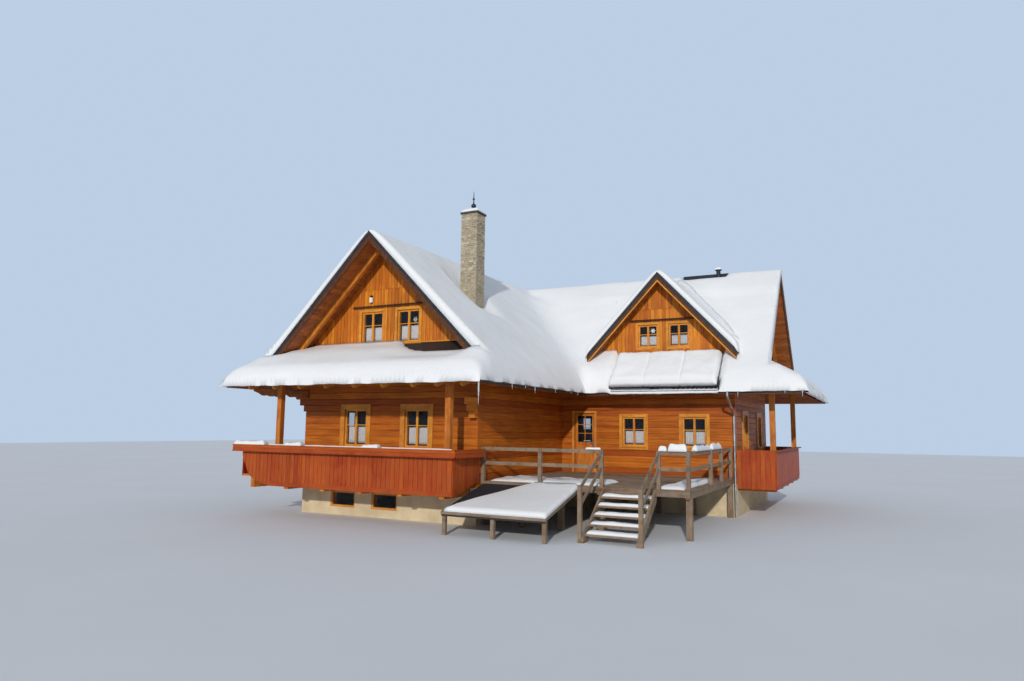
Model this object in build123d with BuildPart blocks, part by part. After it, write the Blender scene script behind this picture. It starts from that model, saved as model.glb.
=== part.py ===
from build123d import *
from math import cos, radians, sqrt, tan
import os

# Alpine chalet: log walls on a plastered basement, an L-shaped plan under one steep roof.
# Origin: underside of the front basement wall, on the ridge line of the front wing.
# +X to the right of the front gable, +Y towards the back, +Z up. Millimetres.

# Levels above the lowest ground
floor_level = 1250
upper_floor_level = 4300
ridge_level = 8800
floor_thickness = 180
upper_floor_thickness = 220
basement_floor_thickness = 100

# Plan of the two wings, outer faces
front_face = -100
front_wing_half_width = 3300
inner_corner_y = 6200
main_wing_half_depth = 3500
east_face = 9500
wall_thickness = 200
foundation_thickness = 300
log_height = 200
log_groove = 15
corbel_logs = (110, 290, 470, 640, 730)
corbel_level = 3270

# Roof
roof_pitch = 45
roof_thickness = 200
eave_reach = 4560
verge_reach = 1144
apron_reach = 2250
apron_pitch = 27.1
apron_thickness = 140
verge_board_thickness = 30
verge_board_depth = 240
fly_rafter_depth = 150
fly_rafter_thickness = 120
fly_rafter_setback = 480

# Cross gable over the terrace
dormer_centre = 7090
dormer_ridge_level = 8250
dormer_pitch = 47
dormer_half_width = 2300
dormer_eave_reach = 2600
dormer_overhang = 550
dormer_roof_thickness = 160
dormer_seat = 300

# Windows: width and height of the hole in the wall, sill level, width of the casing boards
front_window = (880, 1160, 2180, 160)
terrace_window = (820, 1020, 2220, 110)
gable_window = (840, 1030, 5434, 85)
dormer_window = (720, 810, 5680, 85)
basement_window = (980, 500, 250, 60)
front_window_centres = (-1200, 1150)
terrace_window_centres = (6025, 8145)
gable_window_centres = (-665, 740)
dormer_window_offsets = (-517, 579)
basement_window_centres = (-1607, 21)
west_window_centres = (-11300, -8400, -5200, -2000)
back_window_centres = (-7800, -4800, -1800, 1200)
east_window_centres = (-1600, 1600)
window_frame_width = 60
window_frame_depth = 90
window_recess = 30
glass_thickness = 12
casing_thickness = 30

# Terrace door
door_opening_left = 3785
door_opening_width = 776
door_head_level = 3370
door_gap = 8
door_floor_gap = 10
door_thickness = 50
door_recess = 50
door_casing_width = 80
door_glass_width = 560
door_glass_height = 940
door_stile_top = 90
handle_level = 1050
handle_inset = 70
handle_reach = 55
handle_length = 120
handle_thickness = 18
handle_plate_size = (40, 220, 6)
hinge_levels = (250, 1030, 1830)
hinge_radius = 8
hinge_half = 40
hinge_play = 0.3
hinge_leaf_thickness = 3
hinge_leaf_width = 60

# Chimney
chimney_left = 1465
chimney_front = 1800
chimney_width = 580
chimney_depth = 530
chimney_top = 9960
chimney_cap_overhang = 45
chimney_cap_thickness = 60
finial_sides = 12
finial_profile = (
    (0, 90), (60, 28), (180, 22), (235, 82), (305, 82), (360, 22), (470, 16), (510, 45), (550, 16), (780, 6),
)

# Ridge vent
vent_x = 8430
vent_setback = 200
vent_radius = 80
vent_top = 8960
vent_cap_radius = 128
vent_cap_thickness = 20

# Porches under the aprons
porch_depth = 1400
east_porch_depth = 1200
porch_board_thickness = 60
porch_beam_width = 160
porch_beam_height = 340
porch_post_size = 170
porch_post_inset = 170
east_porch_inset = 100
east_post_inset = 370
porch_beam_insets = (443, 300)
front_beam_count = 6
east_beam_count = 5
eave_beam_height = 200
eave_beam_overhang = 350
veranda_left = -4543
parapet_thickness = 40
parapet_side_gap = 5
parapet_bottom = 920
parapet_top = 1990
parapet_end_height = 140
arch_start = 300
arch_span = 950
arch_bend = 350
arch_rise = 130
side_foot = (90, 100)
planter_height = 190
planter_width = 240
planter_wall = 25
planter_overhang = 240
cap_height = 40
cap_width = 160

# Terrace, stair and lean-to
terrace_front = 140
terrace_right = 9400
terrace_board_thickness = 40
joist_width = 100
joist_height = 160
joist_count = 6
support_size = 150
rail_post_size = 100
rail_height = 1000
rail_thickness = 40
rail_depth = 100
lower_rail_height = 590
side_rail_bay = 2710
stair_left = 7009
stair_right = 8577
stair_risers = 6
stair_going = 290
tread_thickness = 50
stringer_thickness = 60
stringer_depth = 300
newel_y = -1400
newel_top = 1370
lean_to_left = 3400
lean_to_right = 6385
lean_to_front = -2124
lean_to_back_level = 1200
lean_to_front_level = 620
lean_to_thickness = 40
lean_to_edge_depth = 120
lean_to_post_size = 100

# Solar collectors
collector_count = 3
collector_left = 5530
collector_width = 1200
collector_thickness = 90
collector_gap = 20
collector_batten = 40
collector_overhang = 88
collector_wall_gap = 70

# Snow on the roofs: depths are measured upright
snow_ridge_depth = 170
snow_eave_depth = 280
snow_wall_depth = 80
snow_wall_gap = 40
snow_eave_overhang = 90
snow_verge_overhang = 45
snow_gutter_lip = 110
snow_apron_lip = 250
snow_rounding = (60, 140)
snow_clearance = 10
snow_valley_start = 500
snow_valley_fill = 350
cross_gable_snow_depth = 160

# Gutters
gutter_radius = 65
gutter_wall = 4
gutter_drop = 150
downpipe_radius = 40
downpipe_corner_gap = 12

# Worked out from the sizes above
ridge_y = inner_corner_y + main_wing_half_depth
back_face = ridge_y + main_wing_half_depth
foundation_top = floor_level - floor_thickness
roof_slope = tan(radians(roof_pitch))
roof_drop = roof_thickness / cos(radians(roof_pitch))
eave_level = ridge_level - roof_slope * eave_reach
apron_slope = tan(radians(apron_pitch))
apron_drop = apron_thickness / cos(radians(apron_pitch))
apron_top = eave_level + apron_slope * apron_reach
dormer_slope = tan(radians(dormer_pitch))
dormer_drop = dormer_roof_thickness / cos(radians(dormer_pitch))
dormer_front = inner_corner_y - dormer_overhang
front_eave_y = ridge_y - eave_reach
back_eave_y = ridge_y + eave_reach
apron_front_y = front_face - apron_reach
apron_east_x = east_face + apron_reach
verge_front_y = front_face - verge_reach
verge_east_x = east_face + verge_reach
tread_rise = floor_level / stair_risers
door_opening_right = door_opening_left + door_opening_width
gutter_reach = eave_reach + gutter_radius
gutter_level = eave_level - gutter_drop
collector_run = inner_corner_y - collector_wall_gap - front_eave_y + collector_overhang
collector_length = collector_run / cos(radians(roof_pitch))
collectors_right = collector_left + collector_count * (collector_width + collector_gap) - collector_gap
snow_reach = eave_reach + snow_eave_overhang
snow_verge_reach = verge_reach + verge_board_thickness + snow_verge_overhang
beyond = 20000

# Outer faces of the walls: local x runs along the wall, local y is up, the normal points outwards
front_end = Plane(origin=(0, front_face, 0), x_dir=(1, 0, 0), z_dir=(0, -1, 0))
east_end = Plane(origin=(east_face, ridge_y, 0), x_dir=(0, 1, 0), z_dir=(1, 0, 0))
terrace_side = Plane(origin=(0, inner_corner_y, 0), x_dir=(1, 0, 0), z_dir=(0, -1, 0))
west_side = Plane(origin=(-front_wing_half_width, 0, 0), x_dir=(0, -1, 0), z_dir=(-1, 0, 0))
back_side = Plane(origin=(0, back_face, 0), x_dir=(-1, 0, 0), z_dir=(0, 1, 0))

front_windows = [(front_end, centre, *front_window) for centre in front_window_centres]
west_windows = [(west_side, centre, *front_window) for centre in west_window_centres]
back_windows = [(back_side, centre, *front_window) for centre in back_window_centres]
east_windows = [(east_end, centre, *front_window) for centre in east_window_centres]
terrace_windows = [(terrace_side, centre, *terrace_window) for centre in terrace_window_centres]
front_gable_windows = [(front_end, centre, *gable_window) for centre in gable_window_centres]
east_gable_windows = [(east_end, centre, *gable_window) for centre in gable_window_centres]
dormer_windows = [
    (terrace_side, dormer_centre + offset_x, *dormer_window) for offset_x in dormer_window_offsets
]
cellar_windows = [(front_end, centre, *basement_window) for centre in basement_window_centres]
house_windows = (
    front_windows + west_windows + back_windows + east_windows + terrace_windows
    + front_gable_windows + east_gable_windows + dormer_windows
)


def block(x, y, z, mode=Mode.ADD):
    """A box between two limits along each axis."""
    with Locations((x[0], y[0], z[0])):
        Box(x[1] - x[0], y[1] - y[0], z[1] - z[0], align=(Align.MIN,) * 3, mode=mode)


def prism(plane, corners, length, mode=Mode.ADD, both=False):
    """The closed outline through the corners, drawn on a plane and extruded."""
    with BuildSketch(plane) as outline:
        with BuildLine():
            Polyline(*corners, close=True)
        make_face()
    extrude(outline.sketch, amount=length, both=both, mode=mode)


def plan_prism(corners, mode=Mode.INTERSECT):
    """An upright prism over a plan, tall enough to trim any roof piece."""
    prism(Plane.XY, corners, beyond, mode=mode)


def lengthwise(plane):
    """The upright plane across a gable end: local x points outwards from the wall."""
    return Plane(origin=plane.origin, x_dir=plane.z_dir, z_dir=-plane.x_dir)


def on_end(plane, across, outward):
    """The plan point at a distance across and outwards from a gable end."""
    point = plane.from_local_coords(Vector(across, 0, outward))
    return (point.X, point.Y)


def hip_half_width(outward):
    """Half the width between the two hips, at a distance in front of the gable wall."""
    return eave_reach - apron_slope * (apron_reach - outward) / roof_slope


def cut_windows(windows, depth):
    """Cut the window holes from the outer face of a wall inwards."""
    for face, centre, width, height, sill, _ in windows:
        with BuildSketch(face) as hole:
            with Locations((centre, sill + height / 2)):
                Rectangle(width, height)
        extrude(hole.sketch, amount=-depth, mode=Mode.SUBTRACT)


def ring(face, centre, bottom, outer, inner, depth):
    """A rectangular frame on a wall plane, extruded along its normal."""
    with BuildSketch(face) as frame:
        with Locations((centre, bottom + outer[1] / 2)):
            Rectangle(*outer)
            Rectangle(*inner, mode=Mode.SUBTRACT)
    extrude(frame.sketch, amount=depth)


def chevron(plane, top_level, slope, reach, depth, thickness):
    """A pair of boards along both slopes of a gable, meeting at the apex."""
    foot = top_level - slope * reach
    prism(
        plane,
        [(0, top_level), (reach, foot), (reach, foot - depth), (0, top_level - depth),
         (-reach, foot - depth), (-reach, foot)],
        thickness,
    )


def clear_apron(plane, depth):
    """Trim away what would lie under the top face of an apron roof, down to a depth."""
    prism(
        lengthwise(plane),
        [(0, apron_top - depth), (apron_reach, eave_level - depth), (apron_reach, eave_level),
         (0, apron_top)],
        beyond, mode=Mode.SUBTRACT, both=True,
    )


def house_plan(inset):
    """The L-shaped plan, moved inwards from the outer wall faces."""
    left = -front_wing_half_width + inset
    inner = front_wing_half_width - inset
    right = east_face - inset
    front = front_face + inset
    middle = inner_corner_y + inset
    back = back_face - inset
    return [(left, front), (inner, front), (inner, middle), (right, middle), (right, back), (left, back)]


def cut_chimney(mode=Mode.SUBTRACT):
    """The space of the chimney shaft, through floors and roof."""
    block(
        (chimney_left, chimney_left + chimney_width),
        (chimney_front, chimney_front + chimney_depth),
        (0, chimney_top), mode=mode,
    )


# Basement
with BuildPart() as foundation_cross_walls:
    block((-front_wing_half_width, front_wing_half_width),
          (front_face, front_face + foundation_thickness), (0, foundation_top))
    block((front_wing_half_width, east_face),
          (inner_corner_y, inner_corner_y + foundation_thickness), (0, foundation_top))
    block((-front_wing_half_width, east_face),
          (back_face - foundation_thickness, back_face), (0, foundation_top))
    cut_windows(cellar_windows, foundation_thickness)

with BuildPart() as foundation_side_walls:
    block((-front_wing_half_width, -front_wing_half_width + foundation_thickness),
          (front_face + foundation_thickness, back_face - foundation_thickness), (0, foundation_top))
    block((front_wing_half_width - foundation_thickness, front_wing_half_width),
          (front_face + foundation_thickness, inner_corner_y + foundation_thickness),
          (0, foundation_top))
    block((east_face - foundation_thickness, east_face),
          (inner_corner_y + foundation_thickness, back_face - foundation_thickness),
          (0, foundation_top))

with BuildPart() as basement_floor:
    prism(Plane.XY, house_plan(foundation_thickness), basement_floor_thickness)
    cut_chimney()

# Floors
with BuildPart() as ground_floor:
    prism(Plane.XY.offset(foundation_top), house_plan(wall_thickness), floor_thickness)
    cut_chimney()

with BuildPart() as upper_floor:
    prism(Plane.XY.offset(upper_floor_level - upper_floor_thickness),
          house_plan(wall_thickness), upper_floor_thickness)
    cut_chimney()


def wall_under_eave(plane, outer, start, end):
    """A wall whose top follows the underside of the roof above it."""
    inner = outer - wall_thickness
    under_roof = ridge_level - roof_drop
    prism(
        plane.offset(start),
        [(outer, foundation_top), (inner, foundation_top),
         (inner, under_roof - roof_slope * inner), (outer, under_roof - roof_slope * outer)],
        end - start,
    )


# Section planes that face along a wing: local x is the distance from the ridge line
west_section = Plane(origin=(0, 0, 0), x_dir=(-1, 0, 0), z_dir=(0, 1, 0))
inner_east_section = Plane(origin=(0, back_face, 0), x_dir=(1, 0, 0), z_dir=(0, -1, 0))
terrace_section = Plane(origin=(0, ridge_y, 0), x_dir=(0, -1, 0), z_dir=(-1, 0, 0))
back_section = Plane(origin=(0, ridge_y, 0), x_dir=(0, 1, 0), z_dir=(1, 0, 0))

inner_side = Plane(origin=(front_wing_half_width, 0, 0), x_dir=(0, 1, 0), z_dir=(1, 0, 0))


def groove_logs(face, top=upper_floor_level):
    """Cut the V joints between the logs into the outer face of a wall."""
    with BuildSketch(lengthwise(face)) as joints:
        for index in range(1, int((top - foundation_top) / log_height) + 1):
            level = foundation_top + index * log_height
            with BuildLine():
                Polyline((-log_groove, level), (log_groove, level - 2 * log_groove),
                         (log_groove, level + 2 * log_groove), close=True)
            make_face()
    extrude(joints.sketch, amount=beyond, both=True, mode=Mode.SUBTRACT)


# Log walls. The top logs of the front wall run on past the corner, in steps
with BuildPart() as wall_front:
    block((-front_wing_half_width, front_wing_half_width),
          (front_face, front_face + wall_thickness), (foundation_top, upper_floor_level))
    for index, length in enumerate(corbel_logs):
        level = corbel_level + index * log_height
        block((-front_wing_half_width - length, -front_wing_half_width),
              (front_face, front_face + wall_thickness),
              (level, min(level + log_height, upper_floor_level)))
    cut_windows(front_windows, wall_thickness)
    groove_logs(front_end)

with BuildPart() as wall_west:
    wall_under_eave(west_section, front_wing_half_width,
                    front_face + wall_thickness, back_face - wall_thickness)
    prism(
        back_section.offset(-beyond / 2),
        [(0, ridge_level - roof_drop), (eave_reach, eave_level - roof_drop),
         (eave_reach, ridge_level), (0, ridge_level)],
        beyond, mode=Mode.SUBTRACT,
    )
    cut_windows(west_windows, wall_thickness)
    groove_logs(west_side)

with BuildPart() as wall_inner_east:
    wall_under_eave(inner_east_section, front_wing_half_width,
                    main_wing_half_depth * 2 - wall_thickness,
                    back_face - front_face - wall_thickness)
    groove_logs(inner_side)

with BuildPart() as wall_beside_door:
    wall_under_eave(terrace_section, main_wing_half_depth,
                    -door_opening_left, -front_wing_half_width)
    groove_logs(terrace_side)

with BuildPart() as wall_over_door:
    wall_under_eave(terrace_section, main_wing_half_depth,
                    -door_opening_right, -door_opening_left)
    block((door_opening_left, door_opening_right),
          (inner_corner_y, inner_corner_y + wall_thickness),
          (floor_level, door_head_level), mode=Mode.SUBTRACT)
    groove_logs(terrace_side)

with BuildPart() as wall_terrace:
    wall_under_eave(terrace_section, main_wing_half_depth, -east_face, -door_opening_right)
    cut_windows(terrace_windows, wall_thickness)
    groove_logs(terrace_side)

with BuildPart() as wall_east:
    block((east_face - wall_thickness, east_face),
          (inner_corner_y + wall_thickness, back_face - wall_thickness),
          (foundation_top, upper_floor_level))
    cut_windows(east_windows, wall_thickness)
    groove_logs(east_end)

with BuildPart() as wall_back:
    wall_under_eave(back_section, main_wing_half_depth, -front_wing_half_width, east_face)
    cut_windows(back_windows, wall_thickness)
    groove_logs(back_side)


def gable_outline(half_width):
    """A gable wall between its floor and the underside of the roof."""
    apex = ridge_level - roof_drop
    shoulder = apex - roof_slope * half_width
    return [(-half_width, upper_floor_level), (half_width, upper_floor_level),
            (half_width, shoulder), (0, apex), (-half_width, shoulder)]


# Gable walls
with BuildPart() as gable_front:
    prism(front_end, gable_outline(front_wing_half_width), -wall_thickness)
    cut_windows(front_gable_windows, wall_thickness)

with BuildPart() as gable_east:
    prism(east_end, gable_outline(main_wing_half_depth - wall_thickness), -wall_thickness)
    cut_windows(east_gable_windows, wall_thickness)


def below_main_roof(drop, start, end):
    """Trim away what lies below the front slope of the main roof, lowered by a drop."""
    near = ridge_y - start
    far = ridge_y - end
    prism(
        terrace_section,
        [(near, 0), (far, 0), (far, ridge_level - drop - roof_slope * far),
         (near, ridge_level - drop - roof_slope * near)],
        beyond, mode=Mode.SUBTRACT, both=True,
    )


# Where the ridge of the cross gable meets the main slope
dormer_back_y = ridge_y - (ridge_level - dormer_ridge_level) / roof_slope
dormer_under_apex = dormer_ridge_level - dormer_drop
dormer_shoulder = dormer_under_apex - dormer_slope * dormer_half_width
dormer_plane = Plane(origin=(dormer_centre, inner_corner_y, 0), x_dir=(1, 0, 0), z_dir=(0, -1, 0))
cheek_inner = dormer_half_width - wall_thickness
cheek_end_y = ridge_y - (ridge_level - dormer_shoulder) / roof_slope + wall_thickness * 2


def dormer_valley_y(across):
    """Where the cross gable's slope meets the main slope, at a distance from its ridge."""
    return dormer_back_y - dormer_slope * across / roof_slope


with BuildPart() as dormer_wall:
    prism(
        dormer_plane,
        [(-dormer_half_width, foundation_top), (dormer_half_width, foundation_top),
         (dormer_half_width, dormer_shoulder), (0, dormer_under_apex),
         (-dormer_half_width, dormer_shoulder)],
        inner_corner_y - cheek_end_y,
    )
    block((dormer_centre - cheek_inner, dormer_centre + cheek_inner),
          (inner_corner_y + wall_thickness, cheek_end_y), (0, beyond), mode=Mode.SUBTRACT)
    below_main_roof(roof_drop, inner_corner_y, inner_corner_y + wall_thickness)
    below_main_roof(0, inner_corner_y + wall_thickness, cheek_end_y)
    cut_windows(dormer_windows, wall_thickness)


def roof_section(drop_top=0, drop_bottom=roof_drop, reach=eave_reach):
    """One slope of the roof, from the ridge line to the eave, as a section."""
    return [(0, ridge_level - drop_top), (reach, ridge_level - drop_top - roof_slope * reach),
            (reach, ridge_level - drop_bottom - roof_slope * reach), (0, ridge_level - drop_bottom)]


# Roof slopes: each is a section run along its wing and trimmed to its plan
verge_half_width = hip_half_width(verge_reach)
west_plan = [
    (0, verge_front_y), (-verge_half_width, verge_front_y), (-eave_reach, apron_front_y),
    (-eave_reach, back_eave_y), (0, ridge_y),
]
inner_east_plan = [
    (0, verge_front_y), (verge_half_width, verge_front_y), (eave_reach, apron_front_y),
    (eave_reach, front_eave_y), (0, ridge_y),
]
terrace_plan = [
    (0, ridge_y), (eave_reach, front_eave_y), (apron_east_x, front_eave_y),
    (verge_east_x, ridge_y - verge_half_width), (verge_east_x, ridge_y),
]
back_plan = [
    (0, ridge_y), (verge_east_x, ridge_y), (verge_east_x, ridge_y + verge_half_width),
    (apron_east_x, back_eave_y), (-eave_reach, back_eave_y),
]

with BuildPart() as roof_west:
    prism(west_section, roof_section(), beyond, both=True)
    plan_prism(west_plan)

with BuildPart() as roof_inner_east:
    prism(inner_east_section, roof_section(), beyond, both=True)
    plan_prism(inner_east_plan)
    cut_chimney()

with BuildPart() as roof_terrace:
    prism(terrace_section, roof_section(), beyond, both=True)
    plan_prism(terrace_plan)
    plan_prism(
        [(dormer_centre - dormer_half_width, inner_corner_y),
         (dormer_centre + dormer_half_width, inner_corner_y),
         (dormer_centre + dormer_half_width, inner_corner_y + wall_thickness),
         (dormer_centre + cheek_inner, inner_corner_y + wall_thickness),
         (dormer_centre + cheek_inner, dormer_valley_y(cheek_inner) - dormer_seat),
         (dormer_centre, dormer_back_y - dormer_seat),
         (dormer_centre - cheek_inner, dormer_valley_y(cheek_inner) - dormer_seat),
         (dormer_centre - cheek_inner, inner_corner_y + wall_thickness),
         (dormer_centre - dormer_half_width, inner_corner_y + wall_thickness)],
        mode=Mode.SUBTRACT,
    )

with BuildPart() as roof_back:
    prism(back_section, roof_section(), beyond, both=True)
    plan_prism(back_plan)


def apron_plan(plane):
    """The plan of an apron roof: between the hips, and narrower under the verge."""
    tucked = roof_drop / roof_slope
    corners = [
        (-eave_reach, apron_reach), (eave_reach, apron_reach), (verge_half_width, verge_reach),
        (verge_half_width - tucked, verge_reach), (hip_half_width(0) - tucked, 0),
        (tucked - hip_half_width(0), 0), (tucked - verge_half_width, verge_reach),
        (-verge_half_width, verge_reach),
    ]
    return [on_end(plane, *corner) for corner in corners]


def apron(plane):
    """A skirt roof against the foot of a gable wall."""
    prism(
        lengthwise(plane),
        [(0, apron_top), (apron_reach, eave_level), (apron_reach, eave_level - apron_drop),
         (0, apron_top - apron_drop)],
        beyond, both=True,
    )
    plan_prism(apron_plan(plane))


with BuildPart() as apron_front:
    apron(front_end)

with BuildPart() as apron_east:
    apron(east_end)


def dormer_slope_roof(side):
    """One slope of the cross gable, cut to lie on the main roof."""
    foot = dormer_ridge_level - dormer_slope * dormer_eave_reach
    prism(
        dormer_plane.offset(dormer_overhang),
        [(0, dormer_ridge_level), (side * dormer_eave_reach, foot),
         (side * dormer_eave_reach, foot - dormer_drop), (0, dormer_under_apex)],
        dormer_front - dormer_back_y,
    )
    below_main_roof(0, dormer_front, dormer_back_y)


with BuildPart() as dormer_roof_left:
    dormer_slope_roof(-1)

with BuildPart() as dormer_roof_right:
    dormer_slope_roof(1)

# Boards along the gable edges, and the exposed rafter pairs behind them
with BuildPart() as verge_boards:
    board_drop = verge_board_depth / cos(radians(roof_pitch))
    for end_plane in (front_end, east_end):
        chevron(end_plane.offset(verge_reach), ridge_level, roof_slope, verge_half_width,
                board_drop, verge_board_thickness)
        clear_apron(end_plane, apron_top)
    chevron(dormer_plane.offset(dormer_overhang), dormer_ridge_level, dormer_slope,
            dormer_eave_reach, verge_board_depth / cos(radians(dormer_pitch)),
            verge_board_thickness)

with BuildPart() as fly_rafters:
    rafter_drop = fly_rafter_depth / cos(radians(roof_pitch))
    for end_plane in (front_end, east_end):
        chevron(end_plane.offset(fly_rafter_setback), ridge_level - roof_drop, roof_slope,
                verge_half_width, rafter_drop, fly_rafter_thickness)
        clear_apron(end_plane, apron_top)


def gutter_profile(section, reach):
    """The half-round section of a gutter that hangs against an eave."""
    with BuildSketch(section) as profile:
        with Locations((reach, gutter_level)):
            Circle(gutter_radius)
            Circle(gutter_radius - gutter_wall, mode=Mode.SUBTRACT)
        with Locations((reach, gutter_level + gutter_radius / 2)):
            Rectangle(2 * gutter_radius, gutter_radius, mode=Mode.SUBTRACT)
    return profile.sketch


# Gutters along the eaves
with BuildPart() as gutters:
    extrude(gutter_profile(west_section.offset(apron_front_y), gutter_reach),
            amount=back_eave_y - apron_front_y)
    extrude(gutter_profile(inner_east_section.offset(back_face - front_eave_y + 2 * gutter_reach
                                                     - 2 * eave_reach), gutter_reach),
            amount=front_eave_y - apron_front_y - 2 * gutter_radius)
    extrude(gutter_profile(terrace_section.offset(-apron_east_x), gutter_reach),
            amount=apron_east_x - eave_reach)
    extrude(gutter_profile(back_section.offset(-eave_reach), gutter_reach),
            amount=apron_east_x + eave_reach)

with BuildPart() as downpipe:
    pipe_x = east_face - downpipe_radius
    pipe_y = inner_corner_y - downpipe_radius - downpipe_corner_gap
    gutter_y = ridge_y - gutter_reach
    pipe_top = gutter_level - gutter_radius
    knee = pipe_top - (pipe_y - gutter_y) * apron_slope
    with BuildLine() as route:
        FilletPolyline((pipe_x, gutter_y, pipe_top), (pipe_x, gutter_y, pipe_top - 4 * downpipe_radius),
                       (pipe_x, pipe_y, knee - 4 * downpipe_radius), (pipe_x, pipe_y, 0),
                       radius=2 * downpipe_radius)
    with BuildSketch(Plane(origin=route.line @ 0, z_dir=route.line % 0)):
        Circle(downpipe_radius)
    sweep()

# Chimney
with BuildPart() as chimney:
    block((chimney_left, chimney_left + chimney_width),
          (chimney_front, chimney_front + chimney_depth), (0, chimney_top))

chimney_axis = (chimney_left + chimney_width / 2, chimney_front + chimney_depth / 2)

with BuildPart() as chimney_cap:
    with BuildSketch(Plane.XY.offset(chimney_top)):
        with Locations(chimney_axis):
            Rectangle(chimney_width + 2 * chimney_cap_overhang, chimney_depth + 2 * chimney_cap_overhang)
    extrude(amount=chimney_cap_thickness)

with BuildPart() as chimney_finial:
    for (low, low_radius), (high, high_radius) in zip(finial_profile, finial_profile[1:]):
        for height, radius in ((low, low_radius), (high, high_radius)):
            with BuildSketch(Plane.XY.offset(chimney_top + chimney_cap_thickness + height)):
                with Locations(chimney_axis):
                    RegularPolygon(radius, finial_sides)
        loft()

with BuildPart() as roof_vent:
    with BuildSketch(Plane.XY.offset(eave_level)):
        with Locations((vent_x, ridge_y - vent_setback)):
            Circle(vent_radius)
    extrude(amount=vent_top - eave_level)
    below_main_roof(0, front_eave_y, ridge_y)
    with BuildSketch(Plane.XY.offset(vent_top)):
        with Locations((vent_x, ridge_y - vent_setback)):
            Circle(vent_cap_radius)
    extrude(amount=vent_cap_thickness)


def on_front(across, outward, height):
    """Limits of a box in front of the front gable, as x, y and z pairs."""
    return (across, (front_face - outward[1], front_face - outward[0]), height)


def on_east(across, outward, height):
    """Limits of a box in front of the east gable, as x, y and z pairs."""
    return ((east_face + outward[0], east_face + outward[1]),
            (ridge_y + across[0], ridge_y + across[1]), height)


# Porches: floor boards, beams, posts and eave beams under both aprons
panel_right = front_wing_half_width + parapet_side_gap
veranda_span = (veranda_left, panel_right)
east_span = (east_porch_inset - main_wing_half_depth, main_wing_half_depth - east_porch_inset)
front_post_offset = front_wing_half_width - porch_post_inset
east_post_offset = main_wing_half_depth - east_post_inset
front_beam_span = (veranda_left + porch_beam_insets[0], front_wing_half_width - porch_beam_insets[1])
east_beam_span = (porch_beam_insets[1] - main_wing_half_depth, main_wing_half_depth - porch_beam_insets[1])

with BuildPart() as porch_floors:
    for place, span, depth in ((on_front, veranda_span, porch_depth),
                               (on_east, east_span, east_porch_depth)):
        block(*place(span, (0, depth), (floor_level - porch_board_thickness, floor_level)))

with BuildPart() as porch_beams:
    beam_top = floor_level - porch_board_thickness
    for place, (first, last), count, depth in (
            (on_front, front_beam_span, front_beam_count, porch_depth),
            (on_east, east_beam_span, east_beam_count, east_porch_depth)):
        for index in range(count):
            centre = first + index * (last - first) / (count - 1)
            block(*place((centre - porch_beam_width / 2, centre + porch_beam_width / 2),
                         (0, depth), (beam_top - porch_beam_height, beam_top)))


def beam_base(depth):
    """The underside of an eave beam: its front edge touches the apron above."""
    return apron_top - apron_slope * depth - apron_drop - eave_beam_height


with BuildPart() as porch_posts:
    for place, offset_x, depth in ((on_front, front_post_offset, porch_depth),
                                   (on_east, east_post_offset, east_porch_depth)):
        for side in (-1, 1):
            across = (side * offset_x - porch_post_size / 2, side * offset_x + porch_post_size / 2)
            block(*place(across, (depth - porch_post_size, depth), (floor_level, beam_base(depth))))

with BuildPart() as eave_beams:
    for end_plane, offset_x, depth in ((front_end, front_post_offset, porch_depth),
                                       (east_end, east_post_offset, east_porch_depth)):
        inner = depth - porch_post_size
        prism(
            lengthwise(end_plane),
            [(inner, beam_base(depth)), (depth, beam_base(depth)),
             (depth, apron_top - apron_drop - apron_slope * depth),
             (inner, apron_top - apron_drop - apron_slope * inner)],
            offset_x + eave_beam_overhang, both=True,
        )

# Parapets of vertical boards
with BuildPart() as parapet_front:
    arch_left = veranda_left + arch_start
    arch_right = arch_left + arch_span
    with BuildSketch(front_end.offset(porch_depth)):
        with BuildLine():
            Polyline((arch_right, parapet_bottom), (panel_right + parapet_thickness, parapet_bottom),
                     (panel_right + parapet_thickness, parapet_top), (veranda_left, parapet_top),
                     (veranda_left, parapet_top - parapet_end_height), (arch_left, floor_level))
            ThreePointArc((arch_left, floor_level), (arch_left + arch_bend, parapet_bottom + arch_rise),
                          (arch_right, parapet_bottom))
        make_face()
    extrude(amount=parapet_thickness)

with BuildPart() as parapet_ends:
    panel_floor = floor_level - porch_board_thickness
    prism(
        Plane.YZ.offset(panel_right),
        [(front_face - porch_depth, parapet_bottom),
         (front_face - porch_depth + side_foot[0], parapet_bottom),
         (front_face - side_foot[1], floor_level), (front_face, floor_level), (front_face, parapet_top),
         (front_face - porch_depth, parapet_top)],
        parapet_thickness,
    )
    block((veranda_left - parapet_thickness, veranda_left),
          (front_face - porch_depth, front_face), (panel_floor, parapet_top))
    block((veranda_left, -front_wing_half_width),
          (front_face, front_face + parapet_thickness), (panel_floor, parapet_top))
    for end_y in (ridge_y + east_span[0] - parapet_thickness, ridge_y + east_span[1]):
        block((east_face, east_face + east_porch_depth), (end_y, end_y + parapet_thickness),
              (parapet_bottom, parapet_top + planter_height))

with BuildPart() as parapet_east:
    rail_base = parapet_top + planter_height - cap_height
    block(*on_east((east_span[0] - parapet_thickness, east_span[1] + parapet_thickness),
                   (east_porch_depth, east_porch_depth + parapet_thickness),
                   (parapet_bottom, rail_base)))
    block(*on_east((east_span[0] - parapet_thickness, east_span[1] + parapet_thickness),
                   (east_porch_depth, east_porch_depth + cap_width),
                   (rail_base, rail_base + cap_height)))

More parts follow.
